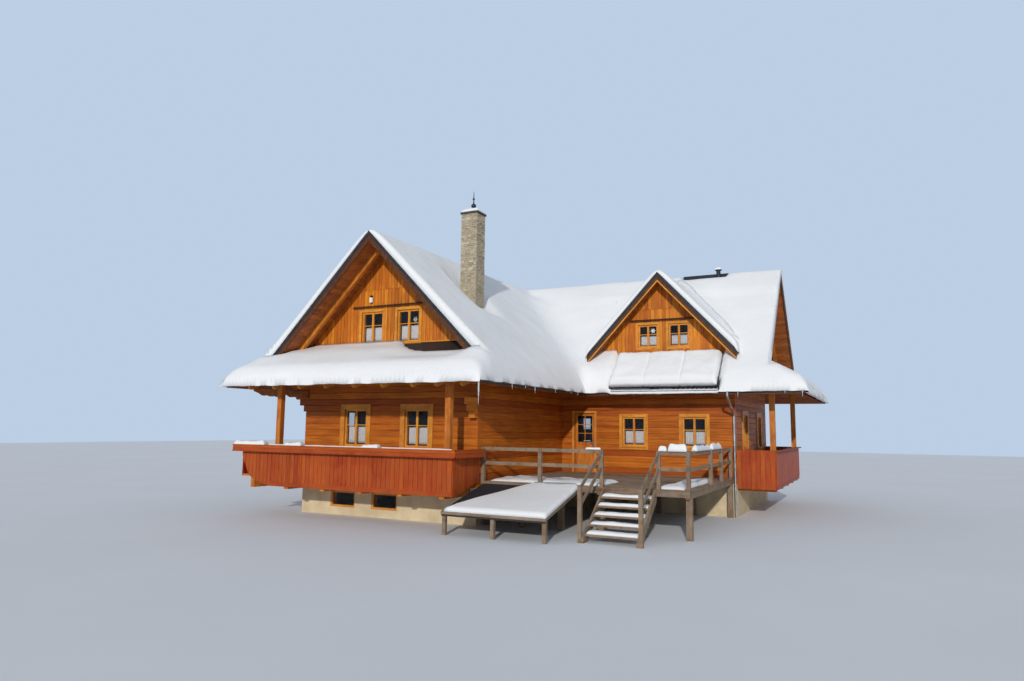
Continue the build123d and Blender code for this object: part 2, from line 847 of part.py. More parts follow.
# Flower trough on the front parapet, turning the corner along its side
with BuildPart() as planter:
    trough_front = front_face - porch_depth - planter_width
    trough_right = panel_right + planter_width
    with BuildSketch(Plane.XY.offset(parapet_top)) as trough_plan:
        with BuildLine():
            Polyline((veranda_left - planter_overhang, trough_front), (trough_right, trough_front),
                     (trough_right, front_face), (panel_right, front_face),
                     (panel_right, front_face - porch_depth),
                     (veranda_left - planter_overhang, front_face - porch_depth), close=True)
        make_face()
    extrude(amount=planter_height)
    with BuildSketch(Plane.XY.offset(parapet_top + planter_wall)):
        add(trough_plan.sketch_local)
        offset(amount=-planter_wall, mode=Mode.REPLACE, kind=Kind.INTERSECTION)
    extrude(amount=planter_height, mode=Mode.SUBTRACT)

# Terrace
with BuildPart() as terrace_deck:
    block((front_wing_half_width, terrace_right), (terrace_front, inner_corner_y),
          (floor_level - terrace_board_thickness, floor_level))

joist_top = floor_level - terrace_board_thickness
joist_bottom = joist_top - joist_height

with BuildPart() as terrace_supports:
    first_joist = front_wing_half_width + support_size / 2
    last_joist = terrace_right - support_size / 2
    for index in range(joist_count):
        x = first_joist + index * (last_joist - first_joist) / (joist_count - 1)
        block((x - joist_width / 2, x + joist_width / 2), (terrace_front, inner_corner_y),
              (joist_bottom, joist_top))
        for y in (terrace_front + support_size, inner_corner_y - 2 * support_size):
            block((x - support_size / 2, x + support_size / 2), (y, y + support_size),
                  (0, joist_bottom))


def rail_posts(points):
    """Square posts that stand on the terrace boards."""
    for x, y in points:
        block((x - rail_post_size / 2, x + rail_post_size / 2),
              (y - rail_post_size / 2, y + rail_post_size / 2),
              (floor_level, floor_level + rail_height))


rail_y = terrace_front + rail_post_size / 2
rail_x = terrace_right - rail_post_size / 2
rail_levels = (lower_rail_height, rail_height)
half_rail = rail_thickness / 2

with BuildPart() as terrace_railing:
    left_end = front_wing_half_width + rail_post_size / 2
    rail_posts([(left_end, rail_y), ((left_end + stair_left) / 2, rail_y), (stair_left, rail_y)])
    rail_posts([(stair_right, rail_y), (rail_x, rail_y)])
    last_post_y = inner_corner_y - 2 * rail_post_size
    side_post_y = rail_y + side_rail_bay
    rail_posts([(rail_x, y) for y in (side_post_y, (side_post_y + last_post_y) / 2, last_post_y)])
    for level in rail_levels:
        height = (floor_level + level - rail_depth, floor_level + level)
        block((left_end, stair_left), (rail_y - half_rail, rail_y + half_rail), height)
        block((stair_right, rail_x), (rail_y - half_rail, rail_y + half_rail), height)
        block((rail_x - half_rail, rail_x + half_rail), (rail_y, last_post_y), height)

# Stair from the terrace to the ground
string_left = stair_left + rail_post_size / 2
string_right = stair_right - rail_post_size / 2
stair_pitch = tread_rise / stair_going
newel_front = newel_y - rail_post_size / 2

with BuildPart() as stair_stringers:
    string_foot = floor_level - stair_pitch * (terrace_front - newel_front)
    string_heel = terrace_front - (floor_level - stringer_depth) / stair_pitch
    for x in (string_left, string_right - stringer_thickness):
        prism(Plane.YZ.offset(x),
              [(terrace_front, floor_level), (terrace_front, floor_level - stringer_depth),
               (string_heel, 0), (newel_front, 0), (newel_front, string_foot)],
              stringer_thickness)

with BuildPart() as stair_treads:
    for index in range(1, stair_risers):
        top = floor_level - index * tread_rise
        back = terrace_front - (index - 1) * stair_going
        block((string_left + stringer_thickness, string_right - stringer_thickness),
              (back - stair_going, back), (top - tread_thickness, top))

with BuildPart() as stair_rails:
    rail_fall = (floor_level + rail_height - newel_top) / (rail_y - newel_y)
    rail_run = terrace_front - newel_y
    for x in (stair_left, stair_right):
        block((x - rail_post_size / 2, x + rail_post_size / 2),
              (newel_front, newel_front + rail_post_size), (0, newel_top))
        for level in rail_levels:
            start = newel_top - rail_height + level
            prism(Plane.YZ.offset(x - half_rail),
                  [(newel_y, start), (terrace_front, start + rail_fall * rail_run),
                   (terrace_front, start + rail_fall * rail_run - rail_depth),
                   (newel_y, start - rail_depth)],
                  rail_thickness)

# Low lean-to against the front of the terrace
lean_to_fall = (lean_to_back_level - lean_to_front_level) / (terrace_front - lean_to_front)


def lean_to_underside(y):
    """Level of the underside of the lean-to roof."""
    return lean_to_back_level - lean_to_thickness - lean_to_fall * (terrace_front - y)


with BuildPart() as lean_to_roof:
    prism(Plane.YZ.offset(lean_to_left),
          [(terrace_front, lean_to_back_level), (lean_to_front, lean_to_front_level),
           (lean_to_front, lean_to_front_level - lean_to_edge_depth),
           (lean_to_front + lean_to_thickness, lean_to_front_level - lean_to_edge_depth),
           (lean_to_front + lean_to_thickness, lean_to_underside(lean_to_front + lean_to_thickness)),
           (terrace_front, lean_to_back_level - lean_to_thickness)],
          lean_to_right - lean_to_left)

with BuildPart() as lean_to_supports:
    post_front = lean_to_front + lean_to_thickness
    post_back = post_front + lean_to_post_size
    beam_bottom = lean_to_underside(post_front) - lean_to_post_size
    prism(Plane.YZ.offset(lean_to_left),
          [(post_front, beam_bottom), (post_back, beam_bottom),
           (post_back, lean_to_underside(post_back)), (post_front, lean_to_underside(post_front))],
          lean_to_right - lean_to_left)
    for index in range(3):
        x = lean_to_left + index * (lean_to_right - lean_to_left - lean_to_post_size) / 2
        block((x, x + lean_to_post_size), (post_front, post_back), (0, beam_bottom))

# Windows
with BuildPart() as window_frames:
    for face, centre, width, height, sill, _ in house_windows + cellar_windows:
        ring(face.offset(-window_recess), centre, sill, (width, height),
             (width - 2 * window_frame_width, height - 2 * window_frame_width), -window_frame_depth)

with BuildPart() as window_glass:
    pane_depth = window_recess + window_frame_depth / 2
    for face, centre, width, height, sill, _ in house_windows + cellar_windows:
        with BuildSketch(face.offset(-pane_depth)) as pane:
            with Locations((centre, sill + height / 2)):
                Rectangle(width - 2 * window_frame_width, height - 2 * window_frame_width)
        extrude(pane.sketch, amount=-glass_thickness)

with BuildPart() as casings:
    for face, centre, width, height, sill, board in house_windows:
        ring(face, centre, sill - board, (width + 2 * board, height + 2 * board),
             (width, height), casing_thickness)
    for end_plane in (front_end, east_end):
        clear_apron(end_plane, apron_drop)
    door_centre = (door_opening_left + door_opening_right) / 2
    with BuildSketch(terrace_side) as door_trim:
        with Locations((door_centre, (floor_level + door_head_level + door_casing_width) / 2)):
            Rectangle(door_opening_width + 2 * door_casing_width,
                      door_head_level + door_casing_width - floor_level)
        with Locations((door_centre, (floor_level + door_head_level) / 2)):
            Rectangle(door_opening_width, door_head_level - floor_level, mode=Mode.SUBTRACT)
    extrude(door_trim.sketch, amount=casing_thickness)

# Terrace door, hinged on its left edge, with the axis just behind the inner face of the leaf
leaf_left = door_opening_left + door_gap
leaf_right = door_opening_right - door_gap
leaf_bottom = floor_level + door_floor_gap
leaf_top = door_head_level - door_gap
leaf_front = inner_corner_y + door_recess
leaf_back = leaf_front + door_thickness
leaf_centre = (leaf_left + leaf_right) / 2
light_top = leaf_top - door_stile_top
light_bottom = light_top - door_glass_height
light_span = (leaf_centre - door_glass_width / 2, leaf_centre + door_glass_width / 2)

hinge_axis = (leaf_left, leaf_back + hinge_radius)


def hinge_knuckle(bottom):
    """Half of a hinge barrel, around the axis of the door."""
    with BuildSketch(Plane.XY.offset(bottom)) as barrel:
        with Locations(hinge_axis):
            Circle(hinge_radius)
    extrude(barrel.sketch, amount=hinge_half)


with BuildPart() as door_leaf:
    block((leaf_left, leaf_right), (leaf_front, leaf_back), (leaf_bottom, leaf_top))
    block(light_span, (leaf_front, leaf_back), (light_bottom, light_top), mode=Mode.SUBTRACT)
    for level in hinge_levels:
        knuckle = floor_level + level + hinge_half + hinge_play
        hinge_knuckle(knuckle)
        block((leaf_left, leaf_left + hinge_leaf_width), (leaf_back, leaf_back + hinge_leaf_thickness),
              (knuckle, knuckle + hinge_half))

with BuildPart() as door_hinges:
    for level in hinge_levels:
        hinge_knuckle(floor_level + level)
        block((door_opening_left, door_opening_left + hinge_leaf_thickness),
              (hinge_axis[1], hinge_axis[1] + hinge_leaf_width),
              (floor_level + level, floor_level + level + hinge_half))

with BuildPart() as door_glass:
    glass_front = leaf_front + (door_thickness - glass_thickness) / 2
    block(light_span, (glass_front, glass_front + glass_thickness), (light_bottom, light_top))

with BuildPart() as door_handle:
    lever_x = leaf_right - handle_inset
    lever_z = floor_level + handle_level
    plate_width, plate_height, plate_thickness = handle_plate_size
    for surface, outward in ((leaf_front, -1), (leaf_back, 1)):
        plate = sorted((surface, surface + outward * plate_thickness))
        stem = sorted((surface, surface + outward * handle_reach))
        grip = sorted((surface + outward * (handle_reach - handle_thickness),
                       surface + outward * handle_reach))
        block((lever_x - plate_width / 2, lever_x + plate_width / 2), plate,
              (lever_z - plate_height / 2, lever_z + plate_height / 2))
        block((lever_x - handle_thickness / 2, lever_x + handle_thickness / 2), stem,
              (lever_z - handle_thickness / 2, lever_z + handle_thickness / 2))
        block((lever_x - handle_length, lever_x + handle_thickness / 2), grip,
              (lever_z - handle_thickness / 2, lever_z + handle_thickness / 2))

# Solar collectors on battens, below the cross gable
slope_plane = Plane(origin=(collector_left, front_eave_y - collector_overhang,
                            eave_level - roof_slope * collector_overhang),
                    x_dir=(1, 0, 0), z_dir=(0, -roof_slope, 1))

with BuildPart() as solar_collectors:
    for index in range(collector_count):
        left = index * (collector_width + collector_gap)
        with BuildSketch(slope_plane.offset(collector_batten)) as panel:
            with Locations((left + collector_width / 2, collector_length / 2)):
                Rectangle(collector_width, collector_length)
        extrude(panel.sketch, amount=collector_thickness)
        with BuildSketch(slope_plane) as battens:
            with Locations((left + collector_width / 2, collector_length / 2 + collector_overhang)):
                with GridLocations(collector_width / 2, 0, 2, 1):
                    Rectangle(collector_batten, collector_length - 2 * collector_overhang)
        extrude(battens.sketch, amount=collector_batten)


# Snow: one bed over the main roof, parted at the valley, and one on each of the lower roofs
def snow_depth(distance):
    """Depth of the snow at a distance from the ridge line: deepest at the eave."""
    return snow_ridge_depth + (snow_eave_depth - snow_ridge_depth) * distance / eave_reach


def snow_top(distance):
    """Level of the snow on the main slopes, at a distance from the ridge line."""
    return ridge_level - roof_slope * distance + snow_depth(distance)


def snow_section():
    """The snow on one slope of the main roof, rounded over the eave."""
    near, far = snow_rounding
    lip_level = eave_level - snow_gutter_lip
    return [(0, ridge_level), (eave_reach, eave_level), (eave_reach, lip_level), (snow_reach, lip_level),
            (snow_reach, snow_top(snow_reach) - far), (snow_reach - near, snow_top(snow_reach) - near / 2),
            (snow_reach - far, snow_top(snow_reach - far)), (0, snow_top(0))]


def widen(corners):
    """A roof plan with its eave and verge lines moved out to the edge of the snow."""
    moved = {
        eave_reach: snow_reach, -eave_reach: -snow_reach,
        front_eave_y: ridge_y - snow_reach, back_eave_y: ridge_y + snow_reach,
        apron_front_y: apron_front_y - snow_eave_overhang, apron_east_x: apron_east_x + snow_eave_overhang,
        verge_front_y: front_face - snow_verge_reach, verge_east_x: east_face + snow_verge_reach,
    }
    return [(moved.get(x, x), moved.get(y, y)) for x, y in corners]


def snow_slab(section, plan):
    """The snow on one slope of the main roof."""
    with BuildPart() as slab:
        prism(section, snow_section(), beyond, both=True)
        plan_prism(widen(plan))
    return slab.part


def below_slope(section):
    """Trim away what lies below one slope of the main roof, extended past its ridge."""
    prism(section,
          [(-beyond, 0), (ridge_level / roof_slope, 0), (-beyond, ridge_level + roof_slope * beyond)],
          beyond, mode=Mode.SUBTRACT, both=True)


def valley_drift():
    """The deeper snow in the valley: a plane that leaves the valley line as it nears the eave."""
    diagonal = Plane(origin=(0, ridge_y, 0), x_dir=(1, -1, 0), z_dir=(-1, -1, 0))
    first = snow_valley_start
    last = snow_reach + snow_valley_start
    rise = snow_valley_fill * (last - first) / (snow_reach - first)
    with BuildPart() as drift:
        prism(diagonal,
              [(first * sqrt(2), snow_top(first)), (last * sqrt(2), snow_top(last) + rise),
               (last * sqrt(2), ridge_level - roof_slope * last),
               (first * sqrt(2), ridge_level - roof_slope * first)],
              snow_reach, both=True)
        below_slope(inner_east_section)
        below_slope(terrace_section)
        plan_prism([(0, 0), (snow_reach, 0), (snow_reach, ridge_y - snow_reach),
                    (apron_east_x, ridge_y - snow_reach), (apron_east_x, ridge_y), (0, ridge_y)])
    return drift.part


snow_layers = [
    snow_slab(west_section, west_plan),
    snow_slab(inner_east_section, inner_east_plan),
    snow_slab(terrace_section, terrace_plan),
    snow_slab(back_section, back_plan),
    valley_drift(),
]

with BuildPart() as snow_bed:
    for layer in snow_layers:
        add(layer)
    cut_chimney()
    with Locations((vent_x, ridge_y - vent_setback, 0)):
        Cylinder(vent_radius, vent_top, align=(Align.CENTER, Align.CENTER, Align.MIN), mode=Mode.SUBTRACT)
    block((collector_left - snow_clearance, collectors_right + snow_clearance),
          (front_eave_y - 2 * collector_overhang, inner_corner_y), (0, beyond), mode=Mode.SUBTRACT)
    plan_prism(
        [(dormer_centre - dormer_eave_reach, inner_corner_y),
         (dormer_centre + dormer_eave_reach, inner_corner_y),
         (dormer_centre + dormer_eave_reach, dormer_valley_y(dormer_eave_reach)),
         (dormer_centre, dormer_back_y),
         (dormer_centre - dormer_eave_reach, dormer_valley_y(dormer_eave_reach))],
        mode=Mode.SUBTRACT,
    )
    under_foot = dormer_under_apex - dormer_slope * dormer_eave_reach
    prism(
        dormer_plane,
        [(0, dormer_under_apex), (dormer_eave_reach, under_foot), (dormer_eave_reach, ridge_level),
         (-dormer_eave_reach, ridge_level), (-dormer_eave_reach, under_foot)],
        dormer_overhang + verge_board_thickness, mode=Mode.SUBTRACT,
    )
    add(verge_boards.part, mode=Mode.SUBTRACT)

front_wing_plan = [(0, ridge_y), (-snow_reach, ridge_y + snow_reach), (-snow_reach, -snow_reach),
                   (snow_reach, -snow_reach), (snow_reach, ridge_y - snow_reach)]

with BuildPart() as snow_front_wing:
    add(snow_bed.part)
    plan_prism(front_wing_plan)

with BuildPart() as snow_main_wing:
    add(snow_bed.part)
    plan_prism(front_wing_plan, mode=Mode.SUBTRACT)


def snow_on_apron(plane):
    """The snow on an apron roof, thinner in the shelter of the verge."""
    edge = apron_reach + snow_eave_overhang
    verge_snow = apron_top - apron_slope * verge_reach + snow_depth(verge_half_width)
    edge_snow = eave_level + snow_eave_depth - apron_slope * snow_eave_overhang
    near, far = snow_rounding
    wall_roof = apron_top - apron_slope * snow_wall_gap
    tucked = roof_drop / roof_slope
    with BuildPart() as cover:
        prism(
            lengthwise(plane),
            [(snow_wall_gap, wall_roof), (apron_reach, eave_level),
             (apron_reach, eave_level - snow_apron_lip), (edge, eave_level - snow_apron_lip),
             (edge, edge_snow - far), (edge - near, edge_snow - near / 2),
             (edge - far, edge_snow + apron_slope * far), (verge_reach, verge_snow),
             (snow_wall_gap, wall_roof + snow_wall_depth)],
            beyond, both=True,
        )
        plan_prism([on_end(plane, *corner) for corner in (
            (-snow_reach, edge), (snow_reach, edge), (verge_half_width, snow_verge_reach),
            (verge_half_width - tucked, verge_reach), (hip_half_width(0) - tucked, 0),
            (tucked - hip_half_width(0), 0), (tucked - verge_half_width, verge_reach),
            (-verge_half_width, snow_verge_reach))])
        under_verge = ridge_level - board_drop - snow_clearance
        prism(
            plane,
            [(0, under_verge), (eave_reach, under_verge - roof_slope * eave_reach), (eave_reach, beyond),
             (-eave_reach, beyond), (-eave_reach, under_verge - roof_slope * eave_reach)],
            snow_verge_reach, mode=Mode.SUBTRACT,
        )
        add(fly_rafters.part, mode=Mode.SUBTRACT)
    return cover.part


snow_covers = [snow_on_apron(front_end), snow_on_apron(east_end)]

with BuildPart() as snow_aprons:
    for cover in snow_covers:
        add(cover)

with BuildPart() as snow_cross_gable:
    snow_front = dormer_overhang + verge_board_thickness + snow_verge_overhang
    snow_half = dormer_eave_reach + snow_verge_overhang
    snow_foot = dormer_ridge_level - dormer_slope * dormer_eave_reach
    snow_apex = dormer_ridge_level + cross_gable_snow_depth
    prism(
        dormer_plane.offset(snow_front),
        [(0, dormer_ridge_level), (dormer_eave_reach, snow_foot), (snow_half, snow_foot),
         (snow_half, snow_apex - dormer_slope * snow_half), (0, snow_apex),
         (-snow_half, snow_apex - dormer_slope * snow_half), (-snow_half, snow_foot),
         (-dormer_eave_reach, snow_foot)],
        inner_corner_y - snow_front - dormer_back_y,
    )
    below_main_roof(0, dormer_front, dormer_back_y)
    add(snow_bed.part, mode=Mode.SUBTRACT)

parts = {
    "foundation_cross_walls": foundation_cross_walls,
    "foundation_side_walls": foundation_side_walls,
    "basement_floor": basement_floor,
    "ground_floor": ground_floor,
    "upper_floor": upper_floor,
    "wall_front": wall_front,
    "wall_west": wall_west,
    "wall_inner_east": wall_inner_east,
    "wall_beside_door": wall_beside_door,
    "wall_over_door": wall_over_door,
    "wall_terrace": wall_terrace,
    "wall_east": wall_east,
    "wall_back": wall_back,
    "gable_front": gable_front,
    "gable_east": gable_east,
    "dormer_wall": dormer_wall,
    "roof_west": roof_west,
    "roof_inner_east": roof_inner_east,
    "roof_terrace": roof_terrace,
    "roof_back": roof_back,
    "apron_front": apron_front,
    "apron_east": apron_east,
    "dormer_roof_left": dormer_roof_left,
    "dormer_roof_right": dormer_roof_right,
    "verge_boards": verge_boards,
    "fly_rafters": fly_rafters,
    "gutters": gutters,
    "downpipe": downpipe,
    "chimney": chimney,
    "chimney_cap": chimney_cap,
    "chimney_finial": chimney_finial,
    "roof_vent": roof_vent,
    "porch_floors": porch_floors,
    "porch_beams": porch_beams,
    "porch_posts": porch_posts,
    "eave_beams": eave_beams,
    "parapet_front": parapet_front,
    "parapet_ends": parapet_ends,
    "parapet_east": parapet_east,
    "planter": planter,
    "terrace_deck": terrace_deck,
    "terrace_supports": terrace_supports,
    "terrace_railing": terrace_railing,
    "stair_stringers": stair_stringers,
    "stair_treads": stair_treads,
    "stair_rails": stair_rails,
    "lean_to_roof": lean_to_roof,
    "lean_to_supports": lean_to_supports,
    "window_frames": window_frames,
    "window_glass": window_glass,
    "casings": casings,
    "door_leaf": door_leaf,
    "door_glass": door_glass,
    "door_handle": door_handle,
    "door_hinges": door_hinges,
    "solar_collectors": solar_collectors,
    "snow_front_wing": snow_front_wing,
    "snow_main_wing": snow_main_wing,
    "snow_aprons": snow_aprons,
    "snow_cross_gable": snow_cross_gable,
}

os.makedirs("parts", exist_ok=True)
for name, piece in parts.items():
    piece.part.label = name
    export_step(piece.part, f"parts/{name}.step")
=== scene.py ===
import math
import random

import bmesh
import bpy
import numpy as np
from mathutils import Matrix, Vector, geometry, noise


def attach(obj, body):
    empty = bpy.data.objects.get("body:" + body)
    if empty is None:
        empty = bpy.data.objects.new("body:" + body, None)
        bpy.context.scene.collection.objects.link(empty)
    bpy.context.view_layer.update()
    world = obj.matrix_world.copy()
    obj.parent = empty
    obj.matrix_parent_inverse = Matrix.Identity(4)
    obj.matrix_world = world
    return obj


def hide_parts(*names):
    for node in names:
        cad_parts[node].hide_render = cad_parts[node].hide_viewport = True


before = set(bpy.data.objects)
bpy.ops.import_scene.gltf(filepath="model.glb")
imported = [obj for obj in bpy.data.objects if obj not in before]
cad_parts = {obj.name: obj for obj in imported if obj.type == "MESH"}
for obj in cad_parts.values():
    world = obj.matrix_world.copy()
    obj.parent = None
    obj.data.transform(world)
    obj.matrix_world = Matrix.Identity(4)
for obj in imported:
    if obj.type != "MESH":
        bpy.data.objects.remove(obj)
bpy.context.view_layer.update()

rng = random.Random(11)

# Sizes of the house in metres, as the solids have them
FLOOR = 1.25
WALL_BASE = 1.07
RIDGE = 8.8
RIDGE_Y = 9.7
FRONT = -0.1
EAST = 9.5
BACK = 13.2
INNER_Y = 6.2
HALF_WING = 3.3
EAVE_REACH = 4.56
EAVE = RIDGE - EAVE_REACH
ROOF_DROP = 0.2828
VERGE_REACH = 1.144
VERGE_BOARD = 0.03
APRON_REACH = 2.25
APRON_SLOPE = math.tan(math.radians(27.1))
DORMER_X = 7.09
DORMER_RIDGE = 8.25
DORMER_SLOPE = math.tan(math.radians(47))
DORMER_REACH = 2.6
DORMER_FRONT = 5.65
DORMER_UNDER = DORMER_RIDGE - 0.16 / math.cos(math.radians(47))
DORMER_BACK = RIDGE_Y - (RIDGE - DORMER_RIDGE)
CHIMNEY = (1.465, 2.045, 1.8, 2.33)
COLLECTORS = (5.53, 9.17)


# Camera and light
def aim(obj, left, above, roll=0.0):
    """Turn a camera or lamp so that it looks that many degrees to the left of +Y and above the horizon."""
    yaw, pitch = math.radians(left), math.radians(above)
    forward = Vector((-math.sin(yaw) * math.cos(pitch), math.cos(yaw) * math.cos(pitch), math.sin(pitch))).normalized()
    level = forward.cross(Vector((0, 0, 1))).normalized()
    upward = level.cross(forward)
    right = level * math.cos(roll) + upward * math.sin(roll)
    up = upward * math.cos(roll) - level * math.sin(roll)
    turn = Matrix((right, up, -forward)).transposed()
    obj.matrix_world = Matrix.Translation(obj.location) @ turn.to_4x4()


def link(obj):
    bpy.context.scene.collection.objects.link(obj)
    return obj


def add_node(tree, kind, inputs=None, **settings):
    """Add a shader node; an input is a value, or an output of another node that is wired to it."""
    made = tree.nodes.new(kind)
    for key, value in settings.items():
        setattr(made, key, value)
    for key, value in (inputs or {}).items():
        if isinstance(value, bpy.types.NodeSocket):
            tree.links.new(value, made.inputs[key])
        else:
            made.inputs[key].default_value = value
    return made


camera = link(bpy.data.objects.new("camera", bpy.data.cameras.new("camera")))
camera.data.sensor_width = 36
camera.data.lens = 719.95 / 1024 * 36
camera.data.clip_end = 500
camera.location = (13.797, -18.498, 2.810)
aim(camera, 27.083, 6.914, 0.012)
bpy.context.scene.camera = camera

sun = link(bpy.data.objects.new("sun", bpy.data.lights.new("sun", "SUN")))
sun.data.energy = 2.15
sun.data.angle = math.radians(1.5)
sun.data.color = (1.0, 0.95, 0.87)
aim(sun, 17, -19.5)

scene = bpy.context.scene
scene.view_settings.view_transform = "Standard"
world = bpy.data.worlds.new("studio")
scene.world = world
world.use_nodes = True
tree = world.node_tree
tree.nodes.clear()
ambient = add_node(tree, "ShaderNodeBackground", {"Color": (0.80, 0.88, 1.0, 1), "Strength": 0.43})
backdrop = add_node(tree, "ShaderNodeBackground", {"Color": (0.50, 0.62, 0.78, 1), "Strength": 1.0})
rays = add_node(tree, "ShaderNodeLightPath").outputs
seen = rays["Is Camera Ray"]
for ray in ("Is Glossy Ray", "Is Transmission Ray"):
    seen = add_node(tree, "ShaderNodeMath", {0: seen, 1: rays[ray]}, operation="MAXIMUM").outputs[0]
mix = add_node(tree, "ShaderNodeMixShader", {0: seen, 1: ambient.outputs[0], 2: backdrop.outputs[0]})
add_node(tree, "ShaderNodeOutputWorld", {"Surface": mix.outputs[0]})


# Materials
class Paint:
    """A procedural material: one principled shader and short calls to wire nodes to it."""

    def __init__(self, name, roughness, metallic=0.0, **sockets):
        self.material = bpy.data.materials.new(name)
        self.material.use_nodes = True
        self.tree = self.material.node_tree
        self.shader = self.tree.nodes["Principled BSDF"]
        self.shader.inputs["Roughness"].default_value = roughness
        self.shader.inputs["Metallic"].default_value = metallic
        for key, value in sockets.items():
            self.shader.inputs[key.replace("_", " ")].default_value = value

    def node(self, kind, inputs=None, **settings):
        return add_node(self.tree, kind, inputs, **settings)

    def where(self, scale=(1, 1, 1), grain=False):
        """Coordinates in metres: in the model's frame, or along each board's own grain."""
        if grain:
            source = self.node("ShaderNodeAttribute", attribute_name="grain").outputs["Vector"]
        else:
            source = self.node("ShaderNodeTexCoord").outputs["Object"]
        return self.node("ShaderNodeMapping", {"Vector": source, "Scale": scale}).outputs[0]

    def noise(self, vector, scale, detail, roughness=0.55, distortion=0.0):
        return self.node("ShaderNodeTexNoise", {"Vector": vector, "Scale": scale, "Detail": detail,
                                                "Roughness": roughness, "Distortion": distortion}).outputs["Fac"]

    def ramp(self, fac, stops):
        made = self.node("ShaderNodeValToRGB", {"Fac": fac})
        row = made.color_ramp.elements
        while len(row) < len(stops):
            row.new(0.5)
        for element, (position, colour) in zip(row, stops):
            element.position = position
            element.color = (*colour, 1)
        return made.outputs["Color"]

    def mix(self, fac, first, second):
        first, second = ((*c, 1) if isinstance(c, tuple) else c for c in (first, second))
        return self.node("ShaderNodeMix", {0: fac, 6: first, 7: second}, data_type="RGBA").outputs[2]

    def span(self, value, low, high, to_low=0.0, to_high=1.0):
        return self.node("ShaderNodeMapRange", {"Value": value, "From Min": low, "From Max": high,
                                                "To Min": to_low, "To Max": to_high}).outputs[0]

    def math(self, operation, first, second=0.0):
        return self.node("ShaderNodeMath", {0: first, 1: second}, operation=operation).outputs[0]

    def tone(self, colour, value, hue=0.5, saturation=1.0):
        return self.node("ShaderNodeHueSaturation", {"Color": colour, "Value": value, "Hue": hue,
                                                     "Saturation": saturation}).outputs[0]

    def bump(self, height, distance, strength, normal=None):
        inputs = {"Height": height, "Distance": distance, "Strength": strength}
        if normal:
            inputs["Normal"] = normal
        return self.node("ShaderNodeBump", inputs).outputs[0]

    def finish(self, colour, normal=None, rough=None):
        for key, value in (("Base Color", colour), ("Normal", normal), ("Roughness", rough)):
            if value is not None:
                self.tree.links.new(value, self.shader.inputs[key])
        return self.material


def course_number(paint, height, start):
    """A different number for each log course of a wall."""
    position = paint.node("ShaderNodeTexCoord").outputs["Object"]
    z = paint.node("ShaderNodeSeparateXYZ", {0: position}).outputs[2]
    step = paint.math("FLOOR", paint.math("DIVIDE", paint.math("SUBTRACT", z, start), height))
    return paint.node("ShaderNodeTexWhiteNoise", {"W": step}, noise_dimensions="1D").outputs["Value"]


def timber(name, light, dark, grain, stretch, roughness, spread, knots=0.0, weather=None, courses=None):
    """Wood with long streaks, fine fibres and a tone of its own for each board."""
    paint = Paint(name, roughness, Specular_IOR_Level=0.25)
    streaks = paint.noise(paint.where(stretch, grain), 1.0, 5, 0.6, 0.6)
    middle = tuple((a + b) / 2 for a, b in zip(light, dark))
    body = paint.ramp(streaks, [(0.30, dark), (0.52, middle), (0.72, light)])
    if courses:
        each = course_number(paint, *courses)
    else:
        each = paint.node("ShaderNodeNewGeometry").outputs["Random Per Island"]
    body = paint.tone(body, paint.span(each, 0, 1, 1 - spread, 1 + spread * 0.7),
                      paint.span(each, 0, 1, 0.492, 0.508))
    cloud = paint.noise(paint.where(), 1.1, 3)
    body = paint.tone(body, paint.span(cloud, 0.3, 0.7, 0.84, 1.12))
    if knots:
        place = paint.where([s * (0.35 if s < 5 else 0.33) for s in stretch], grain)
        spots = paint.node("ShaderNodeTexVoronoi", {"Vector": place, "Scale": 1.6}).outputs["Distance"]
        body = paint.mix(paint.span(spots, 0.05, 0.16, knots, 0.0), body, tuple(c * 0.35 for c in dark))
    if weather:
        patch = paint.noise(paint.where(), 2.3, 5, 0.65)
        body = paint.mix(paint.span(patch, 0.42, 0.66, 0.0, 0.8), body, weather)
    fibre = paint.noise(paint.where([s * (3 if s < 5 else 7) for s in stretch], grain), 1.0, 3)
    normal = paint.bump(fibre, 0.004, 0.6, paint.bump(streaks, 0.008, 0.5))
    return paint.finish(body, normal, paint.span(fibre, 0.3, 0.7, roughness - 0.08, roughness + 0.14))


HONEY, AMBER = (0.76, 0.260, 0.026), (0.46, 0.120, 0.010)
YELLOW, OCHRE = (0.80, 0.345, 0.050), (0.56, 0.205, 0.026)
LOGS, LOGS_DARK = (0.60, 0.162, 0.014), (0.33, 0.070, 0.006)
COURSE = (0.2, WALL_BASE)

log_side = timber("log_wall_wood", LOGS, LOGS_DARK, False, (0.9, 0.9, 16), 0.5, 0.3, 0.5, courses=COURSE)
board_upright = timber("gable_boards_wood", HONEY, AMBER, True, (1.3, 14, 14), 0.5, 0.24, 0.55)
gable_plain = timber("gable_wall_wood", HONEY, AMBER, False, (14, 14, 1.3), 0.5, 0.1)
casing_wood = timber("casing_wood", YELLOW, OCHRE, False, (6, 6, 6), 0.45, 0.1)
trim_wood = timber("trim_wood", YELLOW, OCHRE, True, (1.6, 18, 18), 0.45, 0.12)
eave_wood = timber("eave_wood", (0.40, 0.122, 0.018), (0.20, 0.052, 0.009), False, (5, 5, 5), 0.55, 0.1)
beam_wood = timber("beam_wood", (0.68, 0.24, 0.034), (0.38, 0.108, 0.014), False, (9, 9, 2), 0.5, 0.1, 0.4)
# Verge boards: the dark brown of the gable boards in the verges' shadow, painted shade
verge_wood_painted_shade = timber("verge_wood_painted_shade", (0.150, 0.056, 0.018), (0.062, 0.022, 0.009), False, (7, 7, 7), 0.55, 0.1)
ledge_wood = timber("ledge_wood", (0.075, 0.032, 0.016), (0.030, 0.014, 0.009), True, (1.2, 14, 14), 0.55, 0.1)
parapet_wood = timber("parapet_wood", (0.50, 0.082, 0.011), (0.30, 0.042, 0.006), True, (1.4, 15, 15), 0.5, 0.13,
                      0.3, weather=(0.38, 0.078, 0.014))
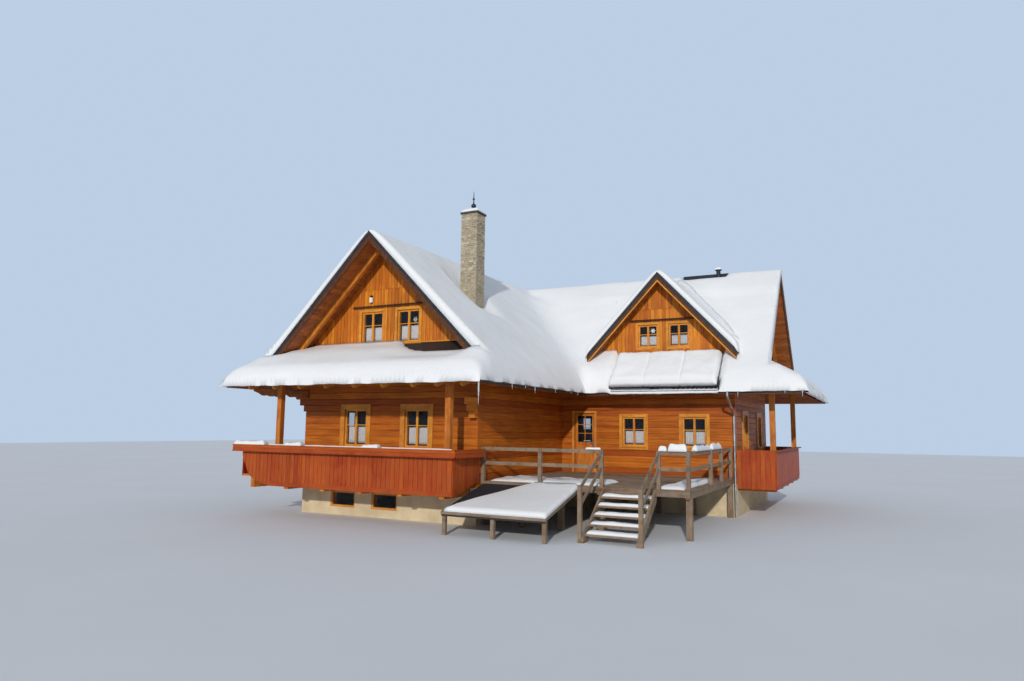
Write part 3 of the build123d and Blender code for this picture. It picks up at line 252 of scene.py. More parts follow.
parapet_plain = timber("parapet_core_wood", (0.38, 0.064, 0.010), (0.22, 0.034, 0.006), False, (10, 10, 1.5), 0.5, 0.1)
grey_wood = timber("weathered_wood", (0.34, 0.235, 0.150), (0.155, 0.098, 0.060), False, (5, 5, 5), 0.75, 0.1,
                   weather=(0.25, 0.21, 0.17))
grey_board = timber("weathered_board_wood", (0.36, 0.25, 0.16), (0.16, 0.10, 0.062), True, (1.3, 15, 15), 0.75, 0.3,
                    0.3, weather=(0.27, 0.225, 0.185))
floor_wood = timber("inner_floor_wood", (0.40, 0.22, 0.10), (0.24, 0.12, 0.05), False, (1.2, 10, 10), 0.5, 0.1)


def snow_paint(name, tint):
    """Settled snow: nearly white, with soft drifts and crystal grain."""
    paint = Paint(name, 0.62, Specular_IOR_Level=0.35)
    place = paint.where()
    drift = paint.noise(place, 0.8, 4, 0.5)
    grain = paint.noise(place, 26.0, 4, 0.7)
    crystal = paint.noise(place, 180.0, 2, 0.6)
    colour = paint.ramp(drift, [(0.30, tuple(c * 0.955 for c in tint)), (0.70, tint)])
    colour = paint.tone(colour, paint.span(grain, 0.3, 0.7, 0.97, 1.02))
    normal = paint.bump(crystal, 0.004, 0.35, paint.bump(grain, 0.02, 0.35, paint.bump(drift, 0.12, 0.5)))
    return paint.finish(colour, normal, paint.span(crystal, 0.3, 0.7, 0.5, 0.75))


def plaster_paint(name, light, dark):
    """Troweled render with faint stains."""
    paint = Paint(name, 0.9)
    place = paint.where()
    stain = paint.noise(place, 1.3, 6, 0.62)
    grit = paint.noise(place, 90.0, 3, 0.6)
    trowel = paint.noise(paint.where((6, 6, 14)), 1.0, 3)
    colour = paint.ramp(stain, [(0.32, dark), (0.62, light)])
    colour = paint.tone(colour, paint.span(grit, 0.3, 0.7, 0.93, 1.05))
    return paint.finish(colour, paint.bump(grit, 0.004, 0.7, paint.bump(trowel, 0.012, 0.5)))


def metal_paint(name, light, dark, roughness, metallic=0.9):
    """Sheet metal with a dull bloom and fine scratches."""
    paint = Paint(name, roughness, metallic)
    bloom = paint.noise(paint.where(), 5.0, 5, 0.6)
    scratch = paint.noise(paint.where((3, 40, 40)), 2.0, 3)
    colour = paint.ramp(bloom, [(0.35, dark), (0.65, light)])
    normal = paint.bump(scratch, 0.002, 0.3)
    return paint.finish(colour, normal, paint.span(bloom, 0.3, 0.7, roughness - 0.1, roughness + 0.15))


def stone_paint(name, stops):
    """Split stone, each piece with its own tone."""
    paint = Paint(name, 0.85)
    each = paint.node("ShaderNodeNewGeometry").outputs["Random Per Island"]
    grain = paint.noise(paint.where(), 22.0, 6, 0.7)
    colour = paint.tone(paint.ramp(each, stops), paint.span(grain, 0.25, 0.75, 0.78, 1.18))
    return paint.finish(colour, paint.bump(grain, 0.012, 0.8))


def glass_paint(name):
    """Dark window glass that lets part of the room behind it show."""
    paint = Paint(name, 0.06, Alpha=0.13, Specular_IOR_Level=0.7)
    ripple = paint.noise(paint.where(), 2.2, 2)
    colour = paint.ramp(ripple, [(0.3, (0.018, 0.026, 0.040)), (0.7, (0.050, 0.070, 0.105))])
    return paint.finish(colour, paint.bump(ripple, 0.02, 0.25))


def lace_paint(name):
    """White lace: small raised knots over a fine weave."""
    paint = Paint(name, 0.85)
    place = paint.where()
    knots = paint.node("ShaderNodeTexVoronoi", {"Vector": place, "Scale": 34.0}).outputs["Distance"]
    weave = paint.noise(place, 160.0, 2)
    colour = paint.ramp(paint.span(knots, 0.1, 0.6), [(0.2, (0.97, 0.975, 0.985)), (0.8, (0.84, 0.86, 0.90))])
    colour = paint.tone(colour, paint.span(weave, 0.3, 0.7, 0.9, 1.05))
    return paint.finish(colour, paint.bump(knots, 0.004, 0.6))


def roofing_colour_with_painted_shade(paint):
    """The specks of the dark roofing and its colour: the roofing's own dark, made darker still as painted shade."""
    speck = paint.noise(paint.where(), 60.0, 3)
    # Near black: the roofing's own dark colour, darkened further as painted shade
    return speck, paint.ramp(speck, [(0.3, (0.009, 0.010, 0.012)), (0.7, (0.026, 0.027, 0.030))])


def roofing_paint(name):
    """Dark roofing, partly painted shade, with the faint joints of its courses."""
    paint = Paint(name, 0.7)
    speck, cover = roofing_colour_with_painted_shade(paint)
    rows = paint.node("ShaderNodeTexWave", {"Vector": paint.where(), "Scale": 4.0, "Distortion": 0.4},
                      bands_direction="Z").outputs["Fac"]
    return paint.finish(cover, paint.bump(rows, 0.01, 0.4, paint.bump(speck, 0.003, 0.5)))


def roof_paint(name):
    """Dark roofing on the upper faces, partly painted shade; the planks of the soffit below them; and on the upright
    end faces a darkened copy of the planks, painted shade.
    """
    paint = Paint(name, 0.6)
    speck, cover = roofing_colour_with_painted_shade(paint)
    streaks = paint.noise(paint.where((4, 4, 30)), 1.0, 5, 0.6, 0.4)
    planks = paint.ramp(streaks, [(0.30, (0.21, 0.052, 0.008)), (0.70, (0.46, 0.135, 0.018))])
    planks = paint.tone(planks, paint.span(course_number(paint, 0.10, 0.0), 0, 1, 0.72, 1.15))
    normal = paint.node("ShaderNodeNewGeometry").outputs["Normal"]
    facing = paint.node("ShaderNodeSeparateXYZ", {0: normal}).outputs[2]
    # Upright faces get the planks darkened to 28%: painted shade
    below = paint.mix(paint.span(facing, -0.25, -0.15), planks, paint.tone(planks, 0.28, 0.5, 0.8))
    colour = paint.mix(paint.span(facing, 0.05, 0.15), below, cover)
    return paint.finish(colour, paint.bump(streaks, 0.006, 0.6, paint.bump(speck, 0.003, 0.5)))


def ice_paint(name):
    """Clear, slightly cloudy ice."""
    paint = Paint(name, 0.12, Transmission_Weight=0.55, IOR=1.31)
    cloud = paint.noise(paint.where(), 30.0, 3)
    colour = paint.ramp(cloud, [(0.3, (0.74, 0.83, 0.92)), (0.7, (0.92, 0.95, 0.98))])
    return paint.finish(colour, paint.bump(cloud, 0.004, 0.5))


snow = snow_paint("snow", (0.86, 0.885, 0.92))
plaster = plaster_paint("cream_plaster", (0.72, 0.60, 0.40), (0.52, 0.42, 0.27))
concrete = plaster_paint("concrete", (0.36, 0.345, 0.32), (0.22, 0.21, 0.20))
zinc = metal_paint("zinc", (0.46, 0.48, 0.50), (0.27, 0.285, 0.30), 0.42)
aluminium = metal_paint("aluminium", (0.62, 0.63, 0.65), (0.44, 0.45, 0.47), 0.32)
iron = metal_paint("wrought_iron", (0.035, 0.045, 0.065), (0.015, 0.018, 0.025), 0.5, 0.7)
steel = metal_paint("brushed_steel", (0.55, 0.55, 0.56), (0.38, 0.38, 0.39), 0.3)
slate = stone_paint("chimney_stone", [(0.0, (0.30, 0.250, 0.175)), (0.35, (0.46, 0.395, 0.285)),
                                      (0.7, (0.38, 0.325, 0.230)), (1.0, (0.56, 0.500, 0.380))])
mortar = plaster_paint("mortar", (0.40, 0.33, 0.22), (0.28, 0.23, 0.15))
cap_stone = plaster_paint("cap_stone", (0.085, 0.080, 0.078), (0.045, 0.043, 0.042))
glass = glass_paint("window_glass")
lace = lace_paint("lace")
roofing = roofing_paint("roofing")
ice = ice_paint("ice")
roof_finish = roof_paint("roof_cover_and_soffit_painted_shade")
edging = metal_paint("verge_edging", (0.030, 0.031, 0.036), (0.012, 0.012, 0.015), 0.5, 0.3)
absorber = metal_paint("absorber", (0.020, 0.028, 0.055), (0.010, 0.013, 0.028), 0.25, 0.4)

FINISH = (
    (plaster, "foundation_cross_walls foundation_side_walls"), (concrete, "basement_floor"),
    (floor_wood, "ground_floor upper_floor"), (gable_plain, "gable_front gable_east dormer_wall"),
    (log_side, "wall_front wall_west wall_inner_east wall_beside_door wall_over_door wall_terrace wall_east wall_back"),
    (roof_finish, "roof_west roof_inner_east roof_terrace roof_back apron_front apron_east"),
    (roof_finish, "dormer_roof_left dormer_roof_right"), (verge_wood_painted_shade, "verge_boards"),
    (zinc, "gutters downpipe"), (mortar, "chimney"), (cap_stone, "chimney_cap"), (iron, "chimney_finial roof_vent"),
    (beam_wood, "fly_rafters porch_floors porch_beams porch_posts door_leaf"), (eave_wood, "eave_beams"),
    (parapet_plain, "parapet_front parapet_ends parapet_east planter"), (roofing, "lean_to_roof"),
    (grey_wood, "terrace_deck terrace_supports terrace_railing stair_stringers stair_treads stair_rails"),
    (grey_wood, "lean_to_supports"), (casing_wood, "window_frames casings"), (glass, "window_glass door_glass"),
    (steel, "door_handle door_hinges"), (absorber, "solar_collectors"),
)
for finish, names in FINISH:
    for node_name in names.split():
        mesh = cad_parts[node_name].data
        mesh.materials.clear()
        mesh.materials.append(finish)


# Pieces made of boards
class Wall:
    """A wall face: u runs along it, v is the height, w points outwards."""

    def __init__(self, origin, along, outward):
        self.origin, self.along, self.outward = Vector(origin), Vector(along), Vector(outward)

    def __call__(self, u, v, w):
        return self.origin + self.along * u + Vector((0, 0, v)) + self.outward * w


def south(x, y):
    """A face that looks towards -Y, with u along X."""
    return Wall((x, y, 0), (1, 0, 0), (0, -1, 0))


def east(x, y):
    """A face that looks towards +X, with u along Y."""
    return Wall((x, y, 0), (0, 1, 0), (1, 0, 0))


front_face, terrace_face, east_face = south(0, FRONT), south(0, INNER_Y), east(EAST, RIDGE_Y)
west_face = Wall((-HALF_WING, 0, 0), (0, -1, 0), (-1, 0, 0))
back_face = Wall((0, BACK, 0), (-1, 0, 0), (0, 1, 0))


def level(x, y, z):
    """Plain model coordinates, for pieces that lie flat."""
    return Vector((x, y, z))


def place_mesh(work, mesh, material, body="house", smooth=True):
    """Turn a bmesh into an object that rides on a body."""
    bmesh.ops.recalc_face_normals(work, faces=work.faces)
    for face in work.faces:
        face.smooth = smooth
    work.to_mesh(mesh)
    work.free()
    mesh.materials.append(material)
    obj = link(bpy.data.objects.new(mesh.name, mesh))
    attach(obj, body)
    return obj


class Piece:
    """Collects closed solids, each with its own grain, into one object."""

    def __init__(self, name, material, body="house", smooth=False):
        self.name, self.material, self.body, self.smooth = name, material, body, smooth
        self.points, self.faces, self.grain = [], [], []

    def prism(self, outline, place, near, far, along=1):
        """A closed outline (u, v) between two depths. The grain runs along axis 0, 1 or 2."""
        count, base = len(outline), len(self.points)
        shift = rng.uniform(0, 60)
        for depth in (near, far):
            for u, v in outline:
                self.points.append(place(u, v, depth))
                row = (u, v, depth)
                self.grain.append((row[along] + shift, row[(along + 1) % 3] + shift, row[(along + 2) % 3]))
        self.faces.append(tuple(range(base + count - 1, base - 1, -1)))
        self.faces.append(tuple(range(base + count, base + 2 * count)))
        for i in range(count):
            j = (i + 1) % count
            self.faces.append((base + i, base + j, base + count + j, base + count + i))
        return self

    def box(self, place, u, v, w, along=0):
        """A box between two limits on each axis."""
        return self.prism([(u[0], v[0]), (u[1], v[0]), (u[1], v[1]), (u[0], v[1])], place, w[0], w[1], along)

    def make(self):
        mesh = bpy.data.meshes.new(self.name)
        mesh.from_pydata([tuple(p) for p in self.points], [], self.faces)
        attribute = mesh.attributes.new("grain", "FLOAT_VECTOR", "POINT")
        attribute.data.foreach_set("vector", np.array(self.grain, np.float32).ravel())
        work = bmesh.new()
        work.from_mesh(mesh)
        place_mesh(work, mesh, self.material, self.body, self.smooth)


def split_by_holes(low, high, holes):
    """What is left of a span of heights after the holes are taken out."""
    spans = [(low, high)]
    for bottom, top in holes:
        rest = []
        for a, b in spans:
            if bottom > a:
                rest.append((a, min(b, bottom)))
            if top < b:
                rest.append((max(a, top), b))
        spans = [(a, b) for a, b in rest if b - a > 0.004]
    return spans


def rounded_foot(a, b, low, drop, steps):
    """The rounded lower end of a board from a to b."""
    middle, radius = (a + b) / 2, (b - a) / 2
    return [(middle - radius * math.cos(math.pi * k / steps), low - drop * math.sin(math.pi * k / steps))
            for k in range(steps + 1)]


def upright_boards(piece, place, start, end, width, gap, base, top, holes, depth, foot=None):
    """Vertical boards side by side; top(u) is the slope they are cut to, holes are (u0, u1, v0, v1)."""
    count = max(1, round((end - start) / width))
    pitch = (end - start) / count
    for index in range(count):
        left = start + index * pitch + gap / 2
        right = start + (index + 1) * pitch - gap / 2
        cuts = sorted({left, right} | {u for hole in holes for u in hole[:2] if left < u < right}
                      | ({0.0} if left < 0 < right else set()))
        stand = depth + rng.uniform(-0.0015, 0.0015)
        for a, b in zip(cuts, cuts[1:]):
            middle = (a + b) / 2
            spans = [(v0, v1) for u0, u1, v0, v1 in holes if u0 < middle < u1]
            ceiling = max(top(a), top(b))
            for low, high in split_by_holes(base, ceiling, spans):
                ends = [(b, min(high, top(b))), (a, min(high, top(a)))]
                if min(ends[0][1], ends[1][1]) <= low + 0.003:
                    if max(ends[0][1], ends[1][1]) <= low + 0.01:
                        continue
                    ends = [(u, max(v, low + 0.002)) for u, v in ends]
                lower = rounded_foot(a, b, low, foot, 8) if foot and low == base else [(a, low), (b, low)]
                piece.prism(lower + ends, place, 0.0, stand)


# Windows as (wall, centre, width, height, sill)
WINDOWS = [(wall, u, width, height, sill) for wall, width, height, sill, centres in (
    (front_face, 0.88, 1.16, 2.18, (-1.2, 1.15)),
    (west_face, 0.88, 1.16, 2.18, (-11.3, -8.4, -5.2, -2.0)),
    (back_face, 0.88, 1.16, 2.18, (-7.8, -4.8, -1.8, 1.2)),
    (east_face, 0.88, 1.16, 2.18, (-1.6, 1.6)),
    (terrace_face, 0.82, 1.02, 2.22, (6.025, 8.145)),
    (front_face, 0.84, 1.03, 5.434, (-0.665, 0.74)),
    (east_face, 0.84, 1.03, 5.434, (-0.665, 0.74)),
    (terrace_face, 0.72, 0.81, 5.68, (DORMER_X - 0.517, DORMER_X + 0.579)),
) for u in centres]
FRAME = 0.06
UPSTAIRS = 5.0

# Height of the curtain rod and of the middle bar, as shares of the window's height
ROD, BAR = 0.52, 0.56

# Vertical boards on the gables, with a scalloped upper field and a dark ledge
BOARD = 0.022
for label, wall, half, under, slope, base, field, ledge, ledge_span, centre in (
        ("front", front_face, 3.28, RIDGE - ROOF_DROP, 1.0, 5.395, 7.218, 6.64, (-1.40, 1.36), 0.0),
        ("east", east_face, 3.28, RIDGE - ROOF_DROP, 1.0, 5.395, 7.218, 6.64, (-1.40, 1.36), 0.0),
        ("dormer", terrace_face, 2.29, DORMER_UNDER, DORMER_SLOPE, 5.25, 7.08, 6.655, (-1.14, 1.13), DORMER_X)):
    place = Wall(wall(centre, 0, 0), wall.along, wall.outward)

    def rake(u, under=under, slope=slope):
        return under - slope * abs(u) - 0.004

    openings = [(u - w / 2 - 0.02 - centre, u + w / 2 + 0.02 - centre, s - 0.02, s + h + 0.02)
                for face, u, w, h, s in WINDOWS if face is wall and s > UPSTAIRS]
    piece = Piece(f"gable_boards_{label}", board_upright)
    upright_boards(piece, place, -half, half, 0.135, 0.014, base, rake, openings, BOARD)
    piece.make()
    reach = (under - field) / slope - 0.01
    piece = Piece(f"gable_field_{label}", board_upright)
    upright_boards(piece, Wall(place(0, 0, BOARD), wall.along, wall.outward), -reach, reach, 0.125, 0.008,
                   field, rake, [], BOARD, foot=0.055)
    piece.make()
    Piece(f"gable_ledge_{label}", ledge_wood).prism(
        [(0.0, ledge - 0.02), (0.10, ledge - 0.045), (0.115, ledge - 0.01), (0.0, ledge + 0.035)],
        lambda u, v, w: place(w, v, u), *ledge_span, along=2).make()
    if label != "dormer":
        Piece(f"gable_base_trim_{label}", trim_wood).box(place, (-3.1, 3.1), (5.392, 5.432), (0.0, 0.05)).make()


def slope_strip(piece, place, apex, slope, reach, top, bottom, near, far):
    """A pair of strips down the two slopes of a gable, between two depths below them."""
    for side in (-1, 1):
        run = [(0, apex - top), (side * reach, apex - top - slope * reach),
               (side * reach, apex - bottom - slope * reach), (0, apex - bottom)]
        piece.prism(run if side < 0 else run[::-1], place, near, far, along=0)


# Barge strips under the verge boards of the cross gable, whose dark brown is painted shade, and the black edging on top
# of all verges
dormer_place = south(DORMER_X, INNER_Y)
piece = Piece("barge_strips", trim_wood)
slope_strip(piece, dormer_place, DORMER_RIDGE, DORMER_SLOPE, DORMER_REACH, 0.285, 0.345, 0.58, 0.60)
piece.make()
piece = Piece("verge_edging", edging)
slope_strip(piece, dormer_place, DORMER_RIDGE, DORMER_SLOPE, DORMER_REACH, 0.0, 0.15, 0.58, 0.59)
for wall in (front_face, east_face):
    slope_strip(piece, wall, RIDGE, 1.0, 3.96, 0.0, 0.14, 1.174, 1.184)
piece.make()

# Window bars and mullions: two panes across, two up
bars = Piece("window_bars", trim_wood)
for wall, u, w, h, s in WINDOWS:
    left, right, low, high = u - w / 2 + FRAME, u + w / 2 - FRAME, s + FRAME, s + h - FRAME
    bars.box(wall, (u - 0.035, u + 0.035), (low, high), (-0.070, -0.022), along=1)
    for a, b in ((left, u - 0.035), (u + 0.035, right)):
        bars.box(wall, (a, b), (s + h * BAR, s + h * BAR + 0.026), (-0.070, -0.030))
bars.make()

sills = Piece("window_sills", trim_wood)
for wall, u, w, h, s in WINDOWS:
    if s < UPSTAIRS:
        sills.prism([(0.0, s - 0.045), (0.075, s - 0.05), (0.08, s - 0.03), (0.0, s - 0.005)],
                    lambda a, v, b, wall=wall: wall(b, v, a), u - w / 2 - 0.05, u + w / 2 + 0.05, along=2)
sills.make()

# Half curtains of lace behind the glass, each on a thin rod
rods = Piece("curtain_rods", steel)
for wall, u, w, h, s in WINDOWS:
    rods.box(wall, (u - w / 2 + 0.02, u + w / 2 - 0.02), (s + h * ROD, s + h * ROD + 0.012), (-0.155, -0.143))
rods.make()
for number, (wall, u, w, h, s) in enumerate(WINDOWS, 1):
    span, top, drop = w - 2 * FRAME - 0.02, s + h * ROD, h * ROD - FRAME - 0.03
    folds, steps, rows = 11, 88, 5
    points, faces, flat = [], [], 0.0
    for k in range(steps + 1):
        phase = 2 * math.pi * folds * k / steps
        x, out = u - span / 2 + span * k / steps, -0.150 + 0.011 * math.sin(phase)
        if k:
            flat += math.hypot(x - last[0], out - last[1])
        last = (x, out)
        for r in range(rows + 1):
            hem = 0.012 * math.cos(phase / 2) ** 2 if r == rows else 0.0
            points.append(wall(x, top - drop * r / rows + hem, out))
    for k in range(steps):
        for r in range(rows):
            a = k * (rows + 1) + r
            faces.append((a, a + 1, a + rows + 2, a + rows + 1))
    mesh = bpy.data.meshes.new(f"curtain_{number:02d}")
    mesh.from_pydata([tuple(p) for p in points], [], faces)
    mesh.shade_smooth()
    mesh.materials.append(lace)
    curtain = link(bpy.data.objects.new(mesh.name, mesh))
    thick = curtain.modifiers.new("thickness", "SOLIDIFY")
    thick.thickness = 0.0015
    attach(curtain, "house")

# Paper stars in two of the upper windows
stars = Piece("window_stars", plaster_paint("paper", (0.90, 0.91, 0.93), (0.82, 0.83, 0.86)))
for wall, u, v in ((front_face, 0.74 + 0.20, 6.14), (terrace_face, DORMER_X - 0.517 + 0.16, 6.28)):
    star = []
    for k in range(24):
        radius = (0.118, 0.050, 0.088, 0.050)[k % 4]
        star.append((u + radius * math.cos(math.pi * k / 12 + 0.1), v + radius * math.sin(math.pi * k / 12 + 0.1)))
    stars.prism(star, wall, -0.090, -0.087)
stars.make()

# Stone facing of the chimney
STONE_BASE, STONE_TOP, JOINT = 6.2, 9.955, 0.006
stones = Piece("chimney_stones", slate)
left, right, near, far = CHIMNEY
for wall, span in ((south(left, near), 0.58), (east(right, near), 0.53),
                   (Wall((right, far, 0), (-1, 0, 0), (0, 1, 0)), 0.58),
                   (Wall((left, far, 0), (0, -1, 0), (-1, 0, 0)), 0.53)):
    z = STONE_BASE
    while STONE_TOP - z > 0.03:
        tall = min(rng.uniform(0.045, 0.085), STONE_TOP - z)
        u = -0.008
        while u < span:
            wide = min(rng.uniform(0.07, 0.20), span + 0.008 - u)
            if span - (u + wide) < 0.04:
                wide = span + 0.008 - u
            stones.box(wall, (u + JOINT / 2, u + wide - JOINT / 2), (z, z + tall - JOINT),
                       (-0.004, rng.uniform(0.010, 0.024)))
            u += wide
        z += tall
stones.make()


# Parapets, trough, decks
PANEL_LEFT, PANEL_RIGHT, PANEL_Y = -4.543, 3.345, FRONT - 1.4 - 0.04
TOP_RAIL, PANEL_LOW, PLANK_TOP, BOARD_FOOT, BOARD_GAP = 1.99, 0.92, 1.10, 1.075, 0.006
panel_face = south(0, PANEL_Y)


def panel_foot(u):
    """Lower edge of the front parapet, with its arch at the left end."""
    s = u - PANEL_LEFT
    if s < 0.30:
        return 1.85 - (1.85 - FLOOR) * s / 0.30
    if s < 0.65:
        return FLOOR - (FLOOR - 1.05) * (s - 0.30) / 0.35
    return 1.05 - (1.05 - PANEL_LOW) * min(1.0, (s - 0.65) / 0.60)


def rounded_board(piece, place, a, b, top, thick):
    """An upright board of the parapet with a rounded lower end."""
    piece.prism(rounded_foot(a, b, BOARD_FOOT, 0.045, 6) + [(b, top), (a, top)], place, 0.0, thick)


piece = Piece("parapet_boards_front", parapet_wood)
count = 50
pitch = (PANEL_RIGHT - PANEL_LEFT) / count
for index in range(count):
    a, b = PANEL_LEFT + index * pitch + BOARD_GAP, PANEL_LEFT + (index + 1) * pitch - BOARD_GAP
    thick = 0.024 + rng.uniform(-0.002, 0.002)
    if panel_foot(b) < 1.04:
        rounded_board(piece, panel_face, a, b, TOP_RAIL, thick)
    else:
        piece.prism([(a, panel_foot(a)), (b, panel_foot(b)), (b, TOP_RAIL), (a, TOP_RAIL)], panel_face, 0.0, thick)
steps = [PANEL_LEFT + 0.65 + 0.1 * k for k in range(7)]
piece.prism([(u, panel_foot(u)) for u in steps] + [(PANEL_RIGHT, PANEL_LOW), (PANEL_RIGHT, PLANK_TOP),
                                                   (steps[0], PLANK_TOP)], panel_face, 0.0, 0.010, along=0)
piece.make()

piece = Piece("parapet_boards_side", parapet_wood)
side_face = east(PANEL_RIGHT, FRONT)
for index in range(9):
    a, b = -1.44 + index * 0.16 + BOARD_GAP, -1.44 + (index + 1) * 0.16 - BOARD_GAP
    foot_a, foot_b = (PANEL_LOW + (FLOOR - PANEL_LOW) * min(1.0, max(0.0, (y + 1.31) / 1.21)) for y in (a, b))
    piece.prism([(a, foot_a), (b, foot_b), (b, TOP_RAIL), (a, TOP_RAIL)], side_face, 0.0,
                0.018 + rng.uniform(-0.002, 0.002))
piece.make()

PORCH_HALF = 3.44
piece = Piece("parapet_boards_east", parapet_wood)
east_panel = east(EAST + 1.24, RIDGE_Y)
for index in range(43):
    a = -PORCH_HALF + index * 0.16 + BOARD_GAP
    rounded_board(piece, east_panel, a, a + 0.148, 2.10, 0.022)
piece.box(east_panel, (-PORCH_HALF, PORCH_HALF), (PANEL_LOW, PLANK_TOP), (0.0, 0.010))
for side in (-1, 1):
    place = Wall((EAST, RIDGE_Y + side * PORCH_HALF, 0), (side, 0, 0), (0, side, 0))
    for index in range(8):
        a = (index * 0.15 + BOARD_GAP) * side
        b = a + 0.138 * side
        piece.box(place, (min(a, b), max(a, b)), (PANEL_LOW, 2.17), (0.0, 0.018), along=1)
piece.make()

# Boards of the flower trough, then its moulded lower and upper edge, as (low, high, depth, run past its two ends)
piece = Piece("trough_boards", parapet_wood)
TROUGH_L, TROUGH_R, TROUGH_Y = -4.783, 3.545, FRONT - 1.4 - 0.24
trough_front, trough_side = south(0, TROUGH_Y), east(TROUGH_R, 0)
for low, high, stand, left, past in ((1.995, 2.082, 0.014, 0.0, 0.0), (2.090, 2.175, 0.014, 0.0, 0.0),
                                     (1.972, 1.998, 0.030, 0.01, 0.030), (2.168, 2.192, 0.026, 0.01, 0.026)):
    piece.box(trough_front, (TROUGH_L - left, TROUGH_R + past), (low, high), (0.0, stand))
    piece.box(trough_side, (TROUGH_Y - past, FRONT), (low, high), (0.0, stand))
piece.make()

# Deck boards of the terrace
DECK_Y, DECK_X, DECK_PITCH = 0.14, (3.30, 9.40), 0.14
piece = Piece("terrace_boards", grey_board)
y = DECK_Y
while y < INNER_Y - 0.02:
    piece.box(lambda u, v, w: level(u, w, v), DECK_X, (FLOOR - 0.001, FLOOR + 0.012),
              (y + 0.005, min(y + DECK_PITCH, INNER_Y) - 0.005))
    y += DECK_PITCH
piece.box(south(0, DECK_Y), (PANEL_RIGHT, DECK_X[1]), (1.09, 1.245), (0.0, 0.022)).make()


# Snow
def soft_abs(value, width=0.24):
    return math.sqrt(value * value + width * width) - 0.5 * width


def soft_max(a, b, k):
    if k <= 0.001:
        return max(a, b)
    h = max(k - abs(a - b), 0.0) / k
    return max(a, b) + h * h * k / 4


def soft_min(a, b, k):
    return -soft_max(-a, -b, k)


def ease(value, low, high):
    t = min(1.0, max(0.0, (value - low) / (high - low)))
    return t * t * (3 - 2 * t)


def main_roof(x, y, soft=True):
    """Level of the L-shaped main roof."""
    size = soft_abs if soft else abs
    back = y - RIDGE_Y
    if back >= 0:
        return soft_min(RIDGE - size(min(x, 0.0)), RIDGE - size(back), 0.3 if soft else 0)
    valley = 1.1 * ease(x, 0, 1.4) * ease(-back, 0, 1.4) if soft else 0
    return soft_max(RIDGE - size(x), RIDGE - size(back) - max(0.0, -x), valley)


def dormer_roof(x, soft=True):
    return DORMER_RIDGE - DORMER_SLOPE * (soft_abs(x - DORMER_X, 0.16) if soft else abs(x - DORMER_X))


def undulation(x, y, size=0.03):
    """Soft drifts of the snow's surface."""
    drift = noise.noise(Vector((x * 0.55, y * 0.55, 3.1))) + 0.5 * noise.noise(Vector((x * 1.7, y * 1.7, 9.4)))
    return size * drift


def creep(x, y):
    """Steps across the terrace slope, parallel to its eave, where the snow has slid a little."""
    line = y + 0.12 * noise.noise(Vector((x * 0.5, 1.0, 0.0)))
    fade = ease(x, 2.4, 3.8)
    return fade * sum(depth * (ease(line, at - 0.08, at) - ease(line, at, at + 0.8))
                      for at, depth in ((8.5, 0.085), (7.5, 0.03)))


def settled(z):
    """Snow thickness, measured upright: deep at the eaves and thin at the ridges."""
    return 0.27 - 0.10 * min(1.0, max(0.0, (z - EAVE) / (RIDGE - EAVE)))


def segment_distance(points, a, b):
    """Distance in plan from each point to the segment from a to b."""
    way = np.array([b[0] - a[0], b[1] - a[1]])
    t = np.clip(((points - np.array([a[0], a[1]])) @ way) / float(way @ way), 0, 1)
    return np.hypot(points[:, 0] - a[0] - t * way[0], points[:, 1] - a[1] - t * way[1])


# Distances from a free edge at which it gets rows of points
RINGS = (0.03, 0.07, 0.11, 0.136, 0.144, 0.20, 0.28, 0.38)


